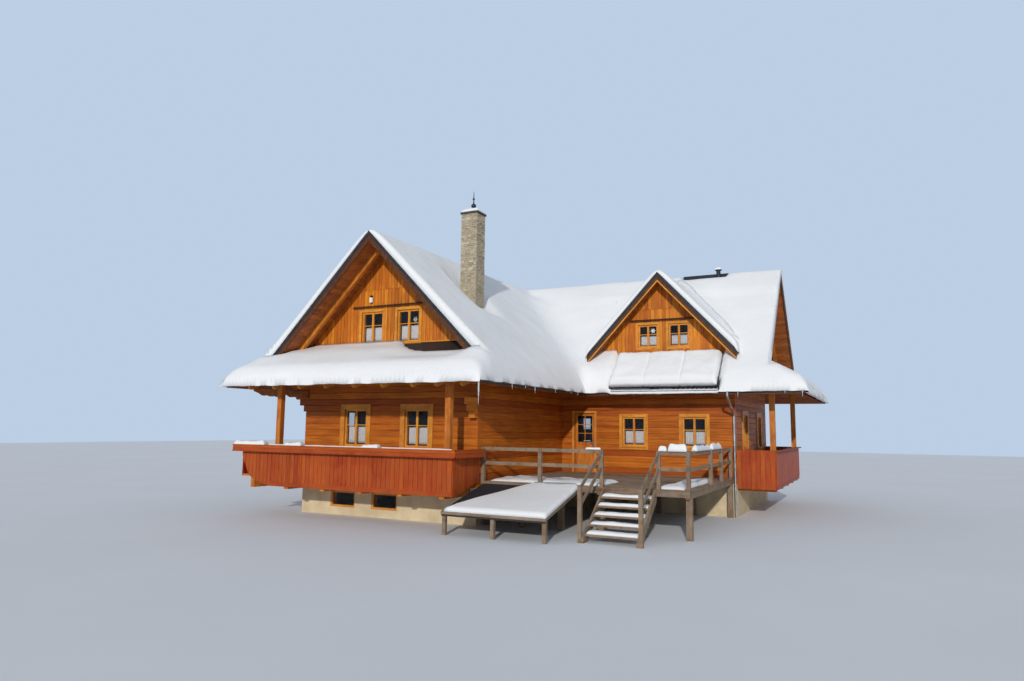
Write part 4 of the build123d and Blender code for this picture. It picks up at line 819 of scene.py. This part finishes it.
class Field:
    """A sheet of snow over a plan outline.

    free marks the outline's free edges, which get closer rows of points. rounding lists the edges that
    the snow falls away to, as (start, end, radius, foot level or None, share of the radius at a point):
    sheets that meet at a seam have the same ones, so that they meet at one height.
    """

    def __init__(self, corners, free, rounding, top, bottom, spacing=0.15, crease=()):
        self.corners = [Vector(c) for c in corners]
        self.crease = [Vector(c) for c in crease]
        self.free, self.rounding = free, rounding
        self.top, self.bottom, self.spacing = top, bottom, spacing
        self.seams = ()

    def inset(self, distance):
        """The outline moved inwards by a distance along its free edges only."""
        lines, count = [], len(self.corners)
        for i, a in enumerate(self.corners):
            way = (self.corners[(i + 1) % count] - a).normalized()
            lines.append((a + Vector((-way.y, way.x)) * (distance if i in self.free else 0.0), way))
        moved = []
        for i in range(count):
            (p, d), (q, e) = lines[i - 1], lines[i]
            cross = d.x * e.y - d.y * e.x
            if abs(cross) > 1e-6:
                moved.append(p + d * (((q.x - p.x) * e.y - (q.y - p.y) * e.x) / cross))
            else:
                moved.append(q.copy())
        return moved

    def stations(self, a, b):
        return max(1, round((b - a).length / self.spacing))

    def points_inside(self, outline):
        """Rows along the free edges and a staggered grid inside, as far as they lie in the outline."""
        count, rows = len(self.corners), []
        for distance in RINGS:
            ring = self.inset(distance)
            for i in self.free:
                a, b = ring[i], ring[(i + 1) % count]
                steps = self.stations(a, b)
                rows += [tuple(a.lerp(b, k / steps)) for k in range(steps + 1)]
        if self.crease:
            a, b = self.crease
            steps = 2 * self.stations(a, b)
            for side in (-0.5, 0.0, 0.5):
                rows += [(p.x, p.y + side * self.spacing) for p in (a.lerp(b, k / steps) for k in range(steps + 1))]
        poly = np.array([tuple(p) for p in outline])
        low, high, pace = poly.min(axis=0), poly.max(axis=0), self.spacing
        grid = [(low[0] + (i + 0.5 + 0.3 * (j % 2)) * pace, low[1] + (j + 0.5) * pace)
                for i in range(int((high[0] - low[0]) / pace)) for j in range(int((high[1] - low[1]) / pace))]
        pool = np.array(rows + grid).reshape(-1, 2)
        inside = np.zeros(len(pool), bool)
        for a, b in zip(poly, np.roll(poly, -1, axis=0)):
            if a[1] != b[1]:
                crosses = (a[1] > pool[:, 1]) != (b[1] > pool[:, 1])
                inside ^= crosses & (pool[:, 0] < (b[0] - a[0]) * (pool[:, 1] - a[1]) / (b[1] - a[1]) + a[0])
        near_any, near_free = np.full(len(pool), 9.0), np.full(len(pool), 9.0)
        for i, a in enumerate(self.corners):
            gap = segment_distance(pool, a, self.corners[(i + 1) % count])
            near_any = np.minimum(near_any, gap)
            if i in self.free:
                near_free = np.minimum(near_free, gap)
        in_rows = np.arange(len(pool)) < len(rows)
        keep = inside & np.where(in_rows, near_any > 0.006, (near_any > 0.07) & (near_free > 0.42))
        return [Vector(p) for p in pool[keep]]

    def build(self, work):
        """Add the top, the underside and the side faces of the sheet to a bmesh."""
        outline, count = [], len(self.corners)
        for i, a in enumerate(self.corners):
            b = self.corners[(i + 1) % count]
            steps = self.stations(a, b)
            outline += [a.lerp(b, k / steps) for k in range(steps)]
        made = geometry.delaunay_2d_cdt(outline + self.points_inside(outline), [],
                                        [list(range(len(outline)))], 1, 1e-5)
        spots, faces = made[0], made[2]
        plan = np.array([tuple(p) for p in spots])
        gaps = [segment_distance(plan, a, b) for a, b, _, _, _ in self.rounding]
        tops, bottoms = [], []
        for i, p in enumerate(spots):
            low = self.bottom(p.x, p.y)
            full = max(self.top(p.x, p.y), low)
            high = full
            for (_, _, radius, foot, share), gap in zip(self.rounding, gaps):
                reach = radius * share(p.x, p.y)
                if gap[i] < reach:
                    start = low if foot is None else min(foot, full)
                    rise = math.sqrt(1 - (1 - gap[i] / reach) ** 2)
                    high = min(high, start + (full - start) * rise)
            tops.append(work.verts.new((p.x, p.y, max(high, low))))
            bottoms.append(work.verts.new((p.x, p.y, low)))
        uses = set()
        for face in faces:
            work.faces.new([tops[i] for i in face])
            work.faces.new([bottoms[i] for i in reversed(face)])
            uses.update(zip(face, list(face[1:]) + [face[0]]))
        for i, j in uses:
            if (j, i) not in uses and not self.joined(spots[i], spots[j]):
                if max((tops[k].co - bottoms[k].co).length for k in (i, j)) > 1e-4:
                    work.faces.new([tops[j], tops[i], bottoms[i], bottoms[j]])

    def joined(self, p, q):
        """Whether an edge of the outline lies on a seam with the next sheet."""
        middle = np.array([[(p.x + q.x) / 2, (p.y + q.y) / 2]])
        return any(segment_distance(middle, a, b)[0] < 1e-3 for a, b in self.seams)


def snow_object(name, fields, seams=()):
    """One object of sheets that meet at seams, where they have no side faces."""
    work = bmesh.new()
    for field in fields:
        field.seams = seams
        field.build(work)
    bmesh.ops.remove_doubles(work, verts=work.verts, dist=0.0006)
    bmesh.ops.dissolve_degenerate(work, edges=work.edges, dist=0.0004)
    return place_mesh(work, bpy.data.meshes.new(name), snow)


# How far the snow hangs over the eaves and the verges, and where its edges run
OVER, VERGE_OVER = 0.14, 0.045
HIP_V = EAVE_REACH - APRON_SLOPE * (APRON_REACH - VERGE_REACH)
OUT_Y, OUT_X = FRONT - APRON_REACH - OVER, EAST + APRON_REACH + OVER
VERGE_OUT = VERGE_REACH + VERGE_BOARD + VERGE_OVER
VERGE_Y, VERGE_X = FRONT - VERGE_OUT, EAST + VERGE_OUT
REACH = EAVE_REACH + OVER
TERRACE_EAVE, BACK_EAVE = RIDGE_Y - REACH, RIDGE_Y + REACH
LIP, APRON_LIP = EAVE - 0.20, EAVE - 0.25


def dormer_valley(x):
    return DORMER_BACK - DORMER_SLOPE * abs(x - DORMER_X)


def slope_top(x, y):
    """Surface of the snow on the main slopes."""
    base = main_roof(x, y)
    high = base + settled(base) + undulation(x, y) + creep(x, y)
    if INNER_Y < y < RIDGE_Y and abs(x - DORMER_X) < 4.5:
        side = dormer_roof(x) + 0.155 + undulation(x, y) - 3.0 * max(0.0, y - DORMER_BACK)
        high = soft_max(high, side, 0.9 * ease(y, INNER_Y, 7.0))
    bare_roof = main_roof(x, y, False) + 0.006
    # The warm chimney has melted a hollow, the ridge by the vent is bare, and so is the roof under the collectors
    melt = math.hypot(max(CHIMNEY[0] - x, x - CHIMNEY[1], 0.0), max(CHIMNEY[2] - y, y - CHIMNEY[3], 0.0))
    high = max(high - 0.30 * (1 - ease(melt, 0.08, 0.75)), bare_roof)
    ridge = ease(x, 6.95, 7.12) * (1 - ease(x, 8.70, 8.86)) * (1 - ease(abs(y - RIDGE_Y), 0.14, 0.36))
    high += (bare_roof - high) * ridge
    if y < 6.3:
        under = ease(x, COLLECTORS[0] - 0.12, COLLECTORS[0]) * (1 - ease(x, COLLECTORS[1], COLLECTORS[1] + 0.12))
        edge = EAVE - 0.10 + 0.03 * noise.noise(Vector((x * 3.0, 2.0, 7.0)))
        high += ((edge if y < RIDGE_Y - EAVE_REACH + 0.01 else bare_roof) - high) * under
    return high


def hollow(inward, across):
    """The wind has thinned the snow before the lee side of a gable."""
    return 0.17 * ease(inward, -0.75, 0.0) * ease(across, 0.5, 1.5) * (1 - ease(across, 3.2, 3.9))


def front_frame(x, y):
    """Distance in from the verge of the front gable, and across its ridge."""
    return y - VERGE_Y, x


def east_frame(x, y):
    return VERGE_X - x, y - RIDGE_Y


def apron_level(inward):
    return EAVE + APRON_SLOPE * (inward + APRON_REACH - VERGE_OUT)


def apron_snow(inward, across):
    """Thickness of the snow on an apron, outside the verge and under its edge."""
    return settled(EAVE) + 0.02 - hollow(inward, across)


def main_top(x, y):
    """Beyond the verges the slopes meet the aprons over a rounded hip."""
    high = slope_top(x, y)
    for frame_of in (front_frame, east_frame):
        inward, across = frame_of(x, y)
        if inward < 0:
            apron = apron_level(inward) + apron_snow(inward, across) + undulation(x, y)
            high = soft_min(high, apron, 0.5 * ease(-inward, 0.0, 0.6))
    return high


def ragged(level_in, x, y):
    """Lower edge of the snow where it hangs over an eave."""
    coarse, fine = noise.noise(Vector((x * 2.3, y * 2.3, 5.0))), noise.noise(Vector((x * 9.0, y * 9.0, 2.0)))
    return level_in + 0.03 * coarse + 0.012 * fine


def main_bottom(x, y):
    past = max(-x - EAVE_REACH, y - RIDGE_Y - EAVE_REACH, min(x - EAVE_REACH, RIDGE_Y - EAVE_REACH - y))
    if past > 0.001:
        strip = COLLECTORS[0] < x < COLLECTORS[1] and y < RIDGE_Y
        return ragged(LIP - (0.05 if strip else 0.0), x, y)
    return main_roof(x, y, False) + 0.002


def apron_top(x, y, frame_of):
    """Under a verge the snow thins towards the wall, and a lens on the lee side is bare."""
    inward, across = frame_of(x, y)
    if inward <= 0:
        return main_top(x, y)
    start = 0.28 + 0.62 * (1 - ease(across, 0.2, 2.3))
    high = (apron_level(inward) + apron_snow(inward, across) - 0.17 * ease(inward, 0.0, 1.15)
            - 0.46 * ease(inward, start, start + 0.42) * ease(across, 0.45, 1.10) + undulation(x, y))
    limit = RIDGE - ROOF_DROP - abs(across) - 0.01
    return max(min(high, limit + 0.3 * (1 - ease(inward, 0.0, 0.22))), apron_level(inward) - 0.11)


def apron_bottom(x, y, frame_of):
    inward, _ = frame_of(x, y)
    if inward < VERGE_OUT - APRON_REACH - 0.001:
        return ragged(APRON_LIP, x, y)
    sunk = 0.05 * ease(inward, 0.0, 0.2) + 0.08 * ease(inward, 0.1, 0.4)
    return min(apron_level(inward), main_roof(x, y, False)) + 0.002 - sunk


def whole(x, y):
    return 1.0


def fading(corner):
    return lambda x, y: min(1.0, max(0.02, math.hypot(x - corner[0], y - corner[1]) / 0.7))


# Plan of the snow: corners of the verges and of the eaves, ends of the ridges, the cross gable
hip = HIP_V + VERGE_OVER * 0.5
left_corner, right_corner, front_apex = (-hip, VERGE_Y), (hip, VERGE_Y), (0, VERGE_Y)
south_corner, north_corner, east_apex = (VERGE_X, RIDGE_Y - hip), (VERGE_X, RIDGE_Y + hip), (VERGE_X, RIDGE_Y)
front_left, front_right, inner_corner = (-REACH, OUT_Y), (REACH, OUT_Y), (REACH, TERRACE_EAVE)
terrace_end, back_right, back_left = (OUT_X, TERRACE_EAVE), (OUT_X, BACK_EAVE), (-REACH, BACK_EAVE)
back_middle, back_ridge, crossing = (REACH, BACK_EAVE), (0, BACK_EAVE), (REACH, RIDGE_Y)
dormer_low, dormer_foot = (DORMER_X, TERRACE_EAVE), (DORMER_X, INNER_Y)
dormer_back, dormer_ridge = (DORMER_X, DORMER_BACK), (DORMER_X, RIDGE_Y)

# Edges that the snow falls away to
EDGES = [(*line, 0.34, LIP, whole) for line in (
    (back_left, front_left), (back_left, back_right), (front_right, inner_corner), (inner_corner, terrace_end))]
EDGES += [(*line, 0.36, APRON_LIP, whole) for line in ((front_left, front_right), (terrace_end, back_right))]
VERGES = [(apex, corner, 0.12, None, fading(corner)) for apex, corner in (
    (front_apex, left_corner), (front_apex, right_corner), (east_apex, south_corner), (east_apex, north_corner))]

# The cross gable takes a bite out of the terrace slope, from its wall line up its two valleys
BITE = 2.30
left_bite = [(DORMER_X - BITE, INNER_Y), (DORMER_X - BITE, dormer_valley(DORMER_X - BITE)), dormer_back]
right_bite = [dormer_back, (DORMER_X + BITE, dormer_valley(DORMER_X + BITE)), (DORMER_X + BITE, INNER_Y)]


def slope_field(corners, free, crease=()):
    return Field(corners, free, EDGES + VERGES, main_top, main_bottom, crease=crease)


def apron_field(corners, frame_of):
    return Field(corners, (0,), EDGES, lambda x, y: apron_top(x, y, frame_of),
                 lambda x, y: apron_bottom(x, y, frame_of))


# The aprons run on under the slopes, up to the undersides of these at the verge and at the wall
verge_tuck, wall_tuck = HIP_V - ROOF_DROP, EAVE_REACH - APRON_SLOPE * APRON_REACH - ROOF_DROP
cover = snow_object("snow_cover", [
    slope_field([front_apex, back_ridge, back_left, front_left, left_corner], (1, 2, 4)),
    slope_field([front_apex, right_corner, front_right, inner_corner, back_middle, back_ridge], (0, 2, 4),
                [(0.1, RIDGE_Y), (REACH - 0.1, RIDGE_Y)]),
    slope_field([dormer_low, terrace_end, south_corner, east_apex, dormer_ridge, *right_bite, dormer_foot], (0, 2)),
    slope_field([inner_corner, dormer_low, dormer_foot, *left_bite, dormer_ridge, crossing], (0,)),
    slope_field([crossing, dormer_ridge, east_apex, north_corner, back_right, back_middle], (2, 4)),
    apron_field([front_left, front_right, right_corner, (verge_tuck, VERGE_Y), (wall_tuck, FRONT),
                 (-wall_tuck, FRONT), (-verge_tuck, VERGE_Y), left_corner], front_frame),
    apron_field([terrace_end, back_right, north_corner, (VERGE_X, RIDGE_Y + verge_tuck), (EAST, RIDGE_Y + wall_tuck),
                 (EAST, RIDGE_Y - wall_tuck), (VERGE_X, RIDGE_Y - verge_tuck), south_corner], east_frame),
], [(front_left, left_corner), (right_corner, front_right), (terrace_end, south_corner), (north_corner, back_right),
    (front_apex, back_ridge), (inner_corner, back_middle), (crossing, east_apex), (dormer_low, dormer_foot),
    (dormer_back, dormer_ridge)])
for node_name in ("snow_front_wing", "snow_main_wing", "snow_aprons"):
    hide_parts(node_name)


# Snow on the cross gable
def gable_top(x, y):
    high = dormer_roof(x) + 0.17 + undulation(x, y)
    if y > 6.3:
        base = main_roof(x, y)
        high = soft_max(high, base + settled(base) + undulation(x, y) + creep(x, y), 0.9 * ease(y, INNER_Y, 7.0))
    return high


def gable_bottom(x, y):
    return dormer_roof(x, False) + (0.002 if abs(x - DORMER_X) < DORMER_REACH else -0.058)


def buried(x, y):
    return 1.0 - 0.98 * ease(y, 6.0, 6.8)


wide = DORMER_REACH + 0.06
verge_line, foot_line = DORMER_FRONT - VERGE_BOARD - VERGE_OVER, dormer_valley(DORMER_X + wide)
left_edge, right_edge = (((x, verge_line), (x, foot_line)) for x in (DORMER_X - wide, DORMER_X + wide))
gable_apex = (DORMER_X, verge_line)
gable_edges = [(left_edge[0], right_edge[0], 0.12, None, whole), (*left_edge, 0.15, None, buried),
               (*right_edge, 0.15, None, buried)]
gable_cover = snow_object("snow_gable_cover", [
    Field(corners, free, gable_edges, gable_top, gable_bottom, 0.12) for corners, free in (
        ([left_edge[0], gable_apex, dormer_back, left_edge[1]], (0, 3)),
        ([gable_apex, *right_edge, dormer_back], (0, 1)))], [(gable_apex, dormer_back)])
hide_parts("snow_cross_gable")


def snow_pad(name, origin, along, across, upward, size, depth, radius, rough, cells=0.06, seams=()):
    """A cushion of snow on a rectangle: rounded along all its edges."""
    origin, along, across, upward = Vector(origin), Vector(along), Vector(across), Vector(upward)

    def stations(length):
        edge = [0.0, 0.08, 0.3, 0.65, 1.0]
        near = [radius * e for e in edge if radius * e < length / 2]
        middle = max(1, round((length - 2 * radius) / cells))
        inner = [radius + (length - 2 * radius) * k / middle for k in range(1, middle)]
        return sorted(set(near + inner + [length - e for e in near]))

    us, vs = stations(size[0]), stations(size[1])
    us = sorted(set(us) | {seam + step for seam in seams for step in (-0.07, -0.035, 0.0, 0.035, 0.07)})
    work = bmesh.new()
    rows, base = [], []
    seed = rng.uniform(0, 50)
    for u in us:
        row, low = [], []
        for v in vs:
            du, dv = min(u, size[0] - u) / radius, min(v, size[1] - v) / radius
            share = math.prod(math.sqrt(max(0.0, 1 - (1 - min(1, d)) ** 2)) for d in (du, dv))
            bump = rough * noise.noise(Vector((u * 2.1 + seed, v * 2.1, 1.0)))
            bump += 0.4 * rough * noise.noise(Vector((u * 7 + seed, v * 7, 4.0)))
            share *= 1 - sum(0.16 * math.exp(-((u - seam) / 0.035) ** 2) for seam in seams)
            place = origin + along * u + across * v
            row.append(work.verts.new(place + upward * ((depth + bump) * share)))
            low.append(work.verts.new(place))
        rows.append(row)
        base.append(low)
    for i in range(len(us) - 1):
        for j in range(len(vs) - 1):
            work.faces.new((rows[i][j], rows[i + 1][j], rows[i + 1][j + 1], rows[i][j + 1]))
            work.faces.new((base[i][j], base[i][j + 1], base[i + 1][j + 1], base[i + 1][j]))
    bmesh.ops.remove_doubles(work, verts=work.verts, dist=0.0003)
    bmesh.ops.dissolve_degenerate(work, edges=work.edges, dist=0.0002)
    place_mesh(work, bpy.data.meshes.new(name), snow)


def flat_pad(name, x, y, z, depth, radius, rough, cells=0.08):
    """A snow cushion on a level surface."""
    snow_pad(name, (x[0], y[0], z), (1, 0, 0), (0, 1, 0), (0, 0, 1), (x[1] - x[0], y[1] - y[0]),
             depth, radius, rough, cells)


# One bed of snow over the three collectors, sunk a little at their seams, and their aluminium frames
slope = math.sqrt(0.5)
up_slope, normal = Vector((0, slope, slope)), Vector((0, -slope, slope))
corner = Vector((COLLECTORS[0], 5.052, 4.152)) + normal * 0.13
snow_pad("snow_collectors", corner + normal * 0.004 + Vector((0.006, 0, 0)) + up_slope * 0.02, (1, 0, 0), up_slope,
         (0, -0.25, 0.97), (3.628, 1.52), 0.25, 0.14, 0.03, seams=(1.205, 2.425))
frames = Piece("collector_frames", aluminium)
for index in range(3):
    def on_collector(u, v, w, start=corner + Vector((1.22 * index, 0, 0))):
        return start + Vector((1, 0, 0)) * u + up_slope * v + normal * w

    for u, v in (((0, 1.2), (-0.004, 0.045)), ((0, 1.2), (1.48, 1.525)), ((0, 0.04), (0, 1.525)),
                 ((1.16, 1.2), (0, 1.525))):
        frames.box(on_collector, u, v, (-0.030, 0.006))
frames.make()
Piece("collector_bracket", iron).box(level, (9.195, 9.235), (5.00, 5.04), (4.10, 4.52)).make()


# Bare ridge capping by the vent, with two dark drips below it
def over_ridge(u, v, w):
    return level(w, RIDGE_Y + u, v)


capping = Piece("ridge_capping", edging)
low, half = RIDGE - 0.17, 0.17
capping.prism([(-half, RIDGE - 0.15), (0.0, RIDGE + 0.065), (half, RIDGE - 0.15), (half, low), (-half, low)],
              over_ridge, 7.04, 8.77, along=2)
for x, run in ((7.34, 0.30), (7.50, 0.22)):
    capping.prism([(-half - run, low - run), (-half - run, RIDGE - 0.13 - run), (-0.15, RIDGE - 0.12), (-0.15, low)],
                  over_ridge, x - 0.05, x + 0.05, along=2)
capping.make()

# Snow on chimney cap, vent, trough, decks, treads and rails, as (name, x, y, z, depth, edge radius, roughness),
# and for some the spacing of its points
DECK, RAIL = FLOOR + 0.012, FLOOR + 1.0
for pad in (
        ("chimney", (1.43, 2.08), (1.765, 2.365), 10.02, 0.13, 0.12, 0.015),
        ("vent", (8.31, 8.55), (9.38, 9.62), 8.98, 0.10, 0.09, 0.015),
        ("trough_left", (-4.77, -3.45), (-1.76, -1.50), 2.17, 0.15, 0.09, 0.06),
        ("trough_middle", (-2.62, -1.95), (-1.75, -1.52), 2.175, 0.11, 0.08, 0.05),
        ("trough_right", (0.35, 0.95), (-1.75, -1.52), 2.17, 0.13, 0.09, 0.06),
        ("parapet_back", (-4.5, 3.3), (-1.53, -1.495), 2.178, 0.035, 0.017, 0.008),
        ("terrace_left", (3.5, 6.9), (0.35, 2.0), DECK, 0.08, 0.25, 0.05, 0.1),
        ("terrace_right", (8.5, 9.2), (0.35, 4.0), DECK, 0.10, 0.25, 0.05, 0.1),
        *((f"tread_{k}", (7.13, 8.46), (0.14 - (k - 1) * 0.29 - 0.28, 0.14 - (k - 1) * 0.29 - 0.01),
           FLOOR - k * FLOOR / 6, 0.075, 0.07, 0.02) for k in range(1, 6)),
        ("rail_left", (6.55, 6.98), (0.16, 0.22), RAIL, 0.05, 0.028, 0.02),
        ("rail_right_1", (8.58, 8.80), (0.12, 0.25), RAIL, 0.14, 0.065, 0.05, 0.05),
        ("rail_right_2", (8.84, 9.32), (0.11, 0.26), RAIL, 0.20, 0.065, 0.05, 0.05),
        ("rail_right_3", (9.27, 9.42), (0.9, 2.6), RAIL, 0.13, 0.065, 0.05, 0.05),
        ("rail_right_4", (9.28, 9.41), (3.0, 4.3), RAIL, 0.16, 0.065, 0.05, 0.05)):
    flat_pad(f"snow_{pad[0]}", *pad[1:])


def low_roof(y):
    return 0.62 + (y + 2.124) * 0.58 / 2.264


# Snow on the low roof, blown off its inner corner
LOW, LOW_FREE = [(3.47, -2.16), (6.42, -2.16), (6.42, 0.12), (4.95, 0.12), (3.62, -1.80)], (0, 1, 3, 4)
snow_object("snow_lean_to", [Field(
    LOW, LOW_FREE, [(LOW[i], LOW[(i + 1) % 5], 0.12, None, whole) for i in LOW_FREE],
    lambda x, y: low_roof(y) + 0.125 + undulation(x, y, 0.02), lambda x, y: low_roof(y) + 0.008, 0.12)])
piece = Piece("lean_to_edge_boards", grey_board)
piece.box(south(0, -2.124), (3.39, 6.40), (0.545, 0.612), (0.0, 0.022))
piece.prism([(-2.124, 0.545), (0.14, 1.125), (0.14, 1.192), (-2.124, 0.612)], east(6.385, 0), 0.0, 0.022, along=0)
piece.make()

# Rafter tails under the front apron, beam ends beside it and log ends at the right front corner
tails = Piece("rafter_tails", trim_wood)
for x in (-3.79, -2.775, -1.759, -0.743, 0.312, 1.329, 2.345, 3.128, 3.945):
    tails.prism([(-2.15, 4.172), (-2.15, 3.935), (-2.05, 3.90), (-1.85, 3.97), (-1.55, 4.15), (-1.20, 4.42),
                 (-1.20, 4.62)], east(x - 0.045, 0), 0.0, 0.09, along=0)
tails.make()
ends = Piece("beam_ends", eave_wood)
for y in (-1.38, -0.16):
    ends.prism([(-3.20, 3.96), (-3.20, 3.72), (-3.42, 3.70), (-3.55, 3.76), (-3.70, 3.72), (-3.86, 3.78),
                (-4.02, 3.75), (-4.18, 3.83), (-4.40, 3.90), (-4.40, 3.96)],
               Wall((0, y, 0), (1, 0, 0), (0, 1, 0)), 0.0, 0.16, along=0)
ends.make()
corbel = Piece("corner_log_ends", board_upright)
for index, run in enumerate((0.20, 0.34, 0.46)):
    corbel.box(front_face, (3.10, HALF_WING), (3.08 + index * 0.2, 3.275 + index * 0.2), (-0.01, run), along=2)
corbel.make()

# Icicles under the gutters and eaves
icicles = Piece("icicles", ice, smooth=True)


def icicle(x, y, z, length, radius):
    base, sides = len(icicles.points), 6
    rings = ((0.0, 1.0), (0.3, 0.75), (0.65, 0.42), (0.92, 0.16))
    for at, share in rings:
        for k in range(sides):
            angle = 2 * math.pi * k / sides
            reach = radius * share * (1 + 0.15 * math.sin(9 * at + x))
            icicles.points.append(Vector((x + reach * math.cos(angle), y + reach * math.sin(angle), z - at * length)))
            icicles.grain.append((0, 0, 0))
    icicles.points.append(Vector((x, y, z - length)))
    icicles.grain.append((0, 0, 0))
    for r in range(len(rings) - 1):
        for k in range(sides):
            j = (k + 1) % sides
            icicles.faces.append((base + r * sides + k, base + r * sides + j, base + (r + 1) * sides + j,
                                  base + (r + 1) * sides + k))
    last = base + (len(rings) - 1) * sides
    for k in range(sides):
        icicles.faces.append((last + k, last + (k + 1) % sides, base + len(rings) * sides))
    icicles.faces.append(tuple(base + k for k in reversed(range(sides))))


icicle(4.63, -2.42, 4.02, 0.66, 0.030)
for y, length in ((-0.6, 0.20), (0.25, 0.12), (0.9, 0.24), (2.4, 0.14), (3.7, 0.10), (4.3, 0.16)):
    icicle(4.67, y, 4.06, length, 0.018)
for x, length in ((5.6, 0.10), (6.4, 0.14), (7.7, 0.09), (9.8, 0.20), (11.2, 0.12), (11.7, 0.22)):
    icicle(x, 5.035, 4.06, length, 0.018)
icicles.make()

# Lamp on the front gable
lamp = Piece("wall_lamps", plaster_paint("lamp_glass", (0.88, 0.88, 0.86), (0.80, 0.80, 0.78)))
ring = [(0.06 * math.cos(math.pi * k / 6), 0.06 * math.sin(math.pi * k / 6)) for k in range(12)]
lamp.prism([(-0.68 + u, -0.09 + v) for u, v in ring], lambda u, v, w: front_face(u, w, -v), 6.76, 6.92, along=2)
lamp.make()
Piece("lamp_arms", iron).box(front_face, (-0.70, -0.66), (6.92, 6.99), (0.0, 0.13)).make()

# Glazing bars and panels of the door
door_bars = Piece("door_bars", beam_wood, "door")
door_face = south(4.173, 6.25)
LIGHT = (2.332, 3.272)
door_bars.box(door_face, (-0.014, 0.014), LIGHT, (-0.032, -0.002), along=1)
for k in (1, 2):
    z = LIGHT[0] + (LIGHT[1] - LIGHT[0]) * k / 3
    door_bars.box(door_face, (-0.28, 0.28), (z - 0.012, z + 0.012), (-0.030, -0.004))
door_bars.make()
moulding = Piece("door_panel", beam_wood, "door")
for u in ((-0.28, -0.01), (0.01, 0.28)):
    moulding.box(door_face, u, (1.42, 2.20), (0.0, 0.012), along=1)
moulding.make()

# Ground
ground = bpy.data.meshes.new("ground")
ground.from_pydata([(-90, -90, 0), (90, -90, 0), (90, 90, 0), (-90, 90, 0)], [], [(0, 1, 2, 3)])
floor_paint = Paint("studio_floor", 0.8)
tone = floor_paint.noise(floor_paint.where(), 0.2, 3)
ground.materials.append(floor_paint.finish(floor_paint.ramp(tone, [(0.3, (0.74, 0.77, 0.82)),
                                                                   (0.7, (0.77, 0.80, 0.85))])))
link(bpy.data.objects.new("ground", ground))
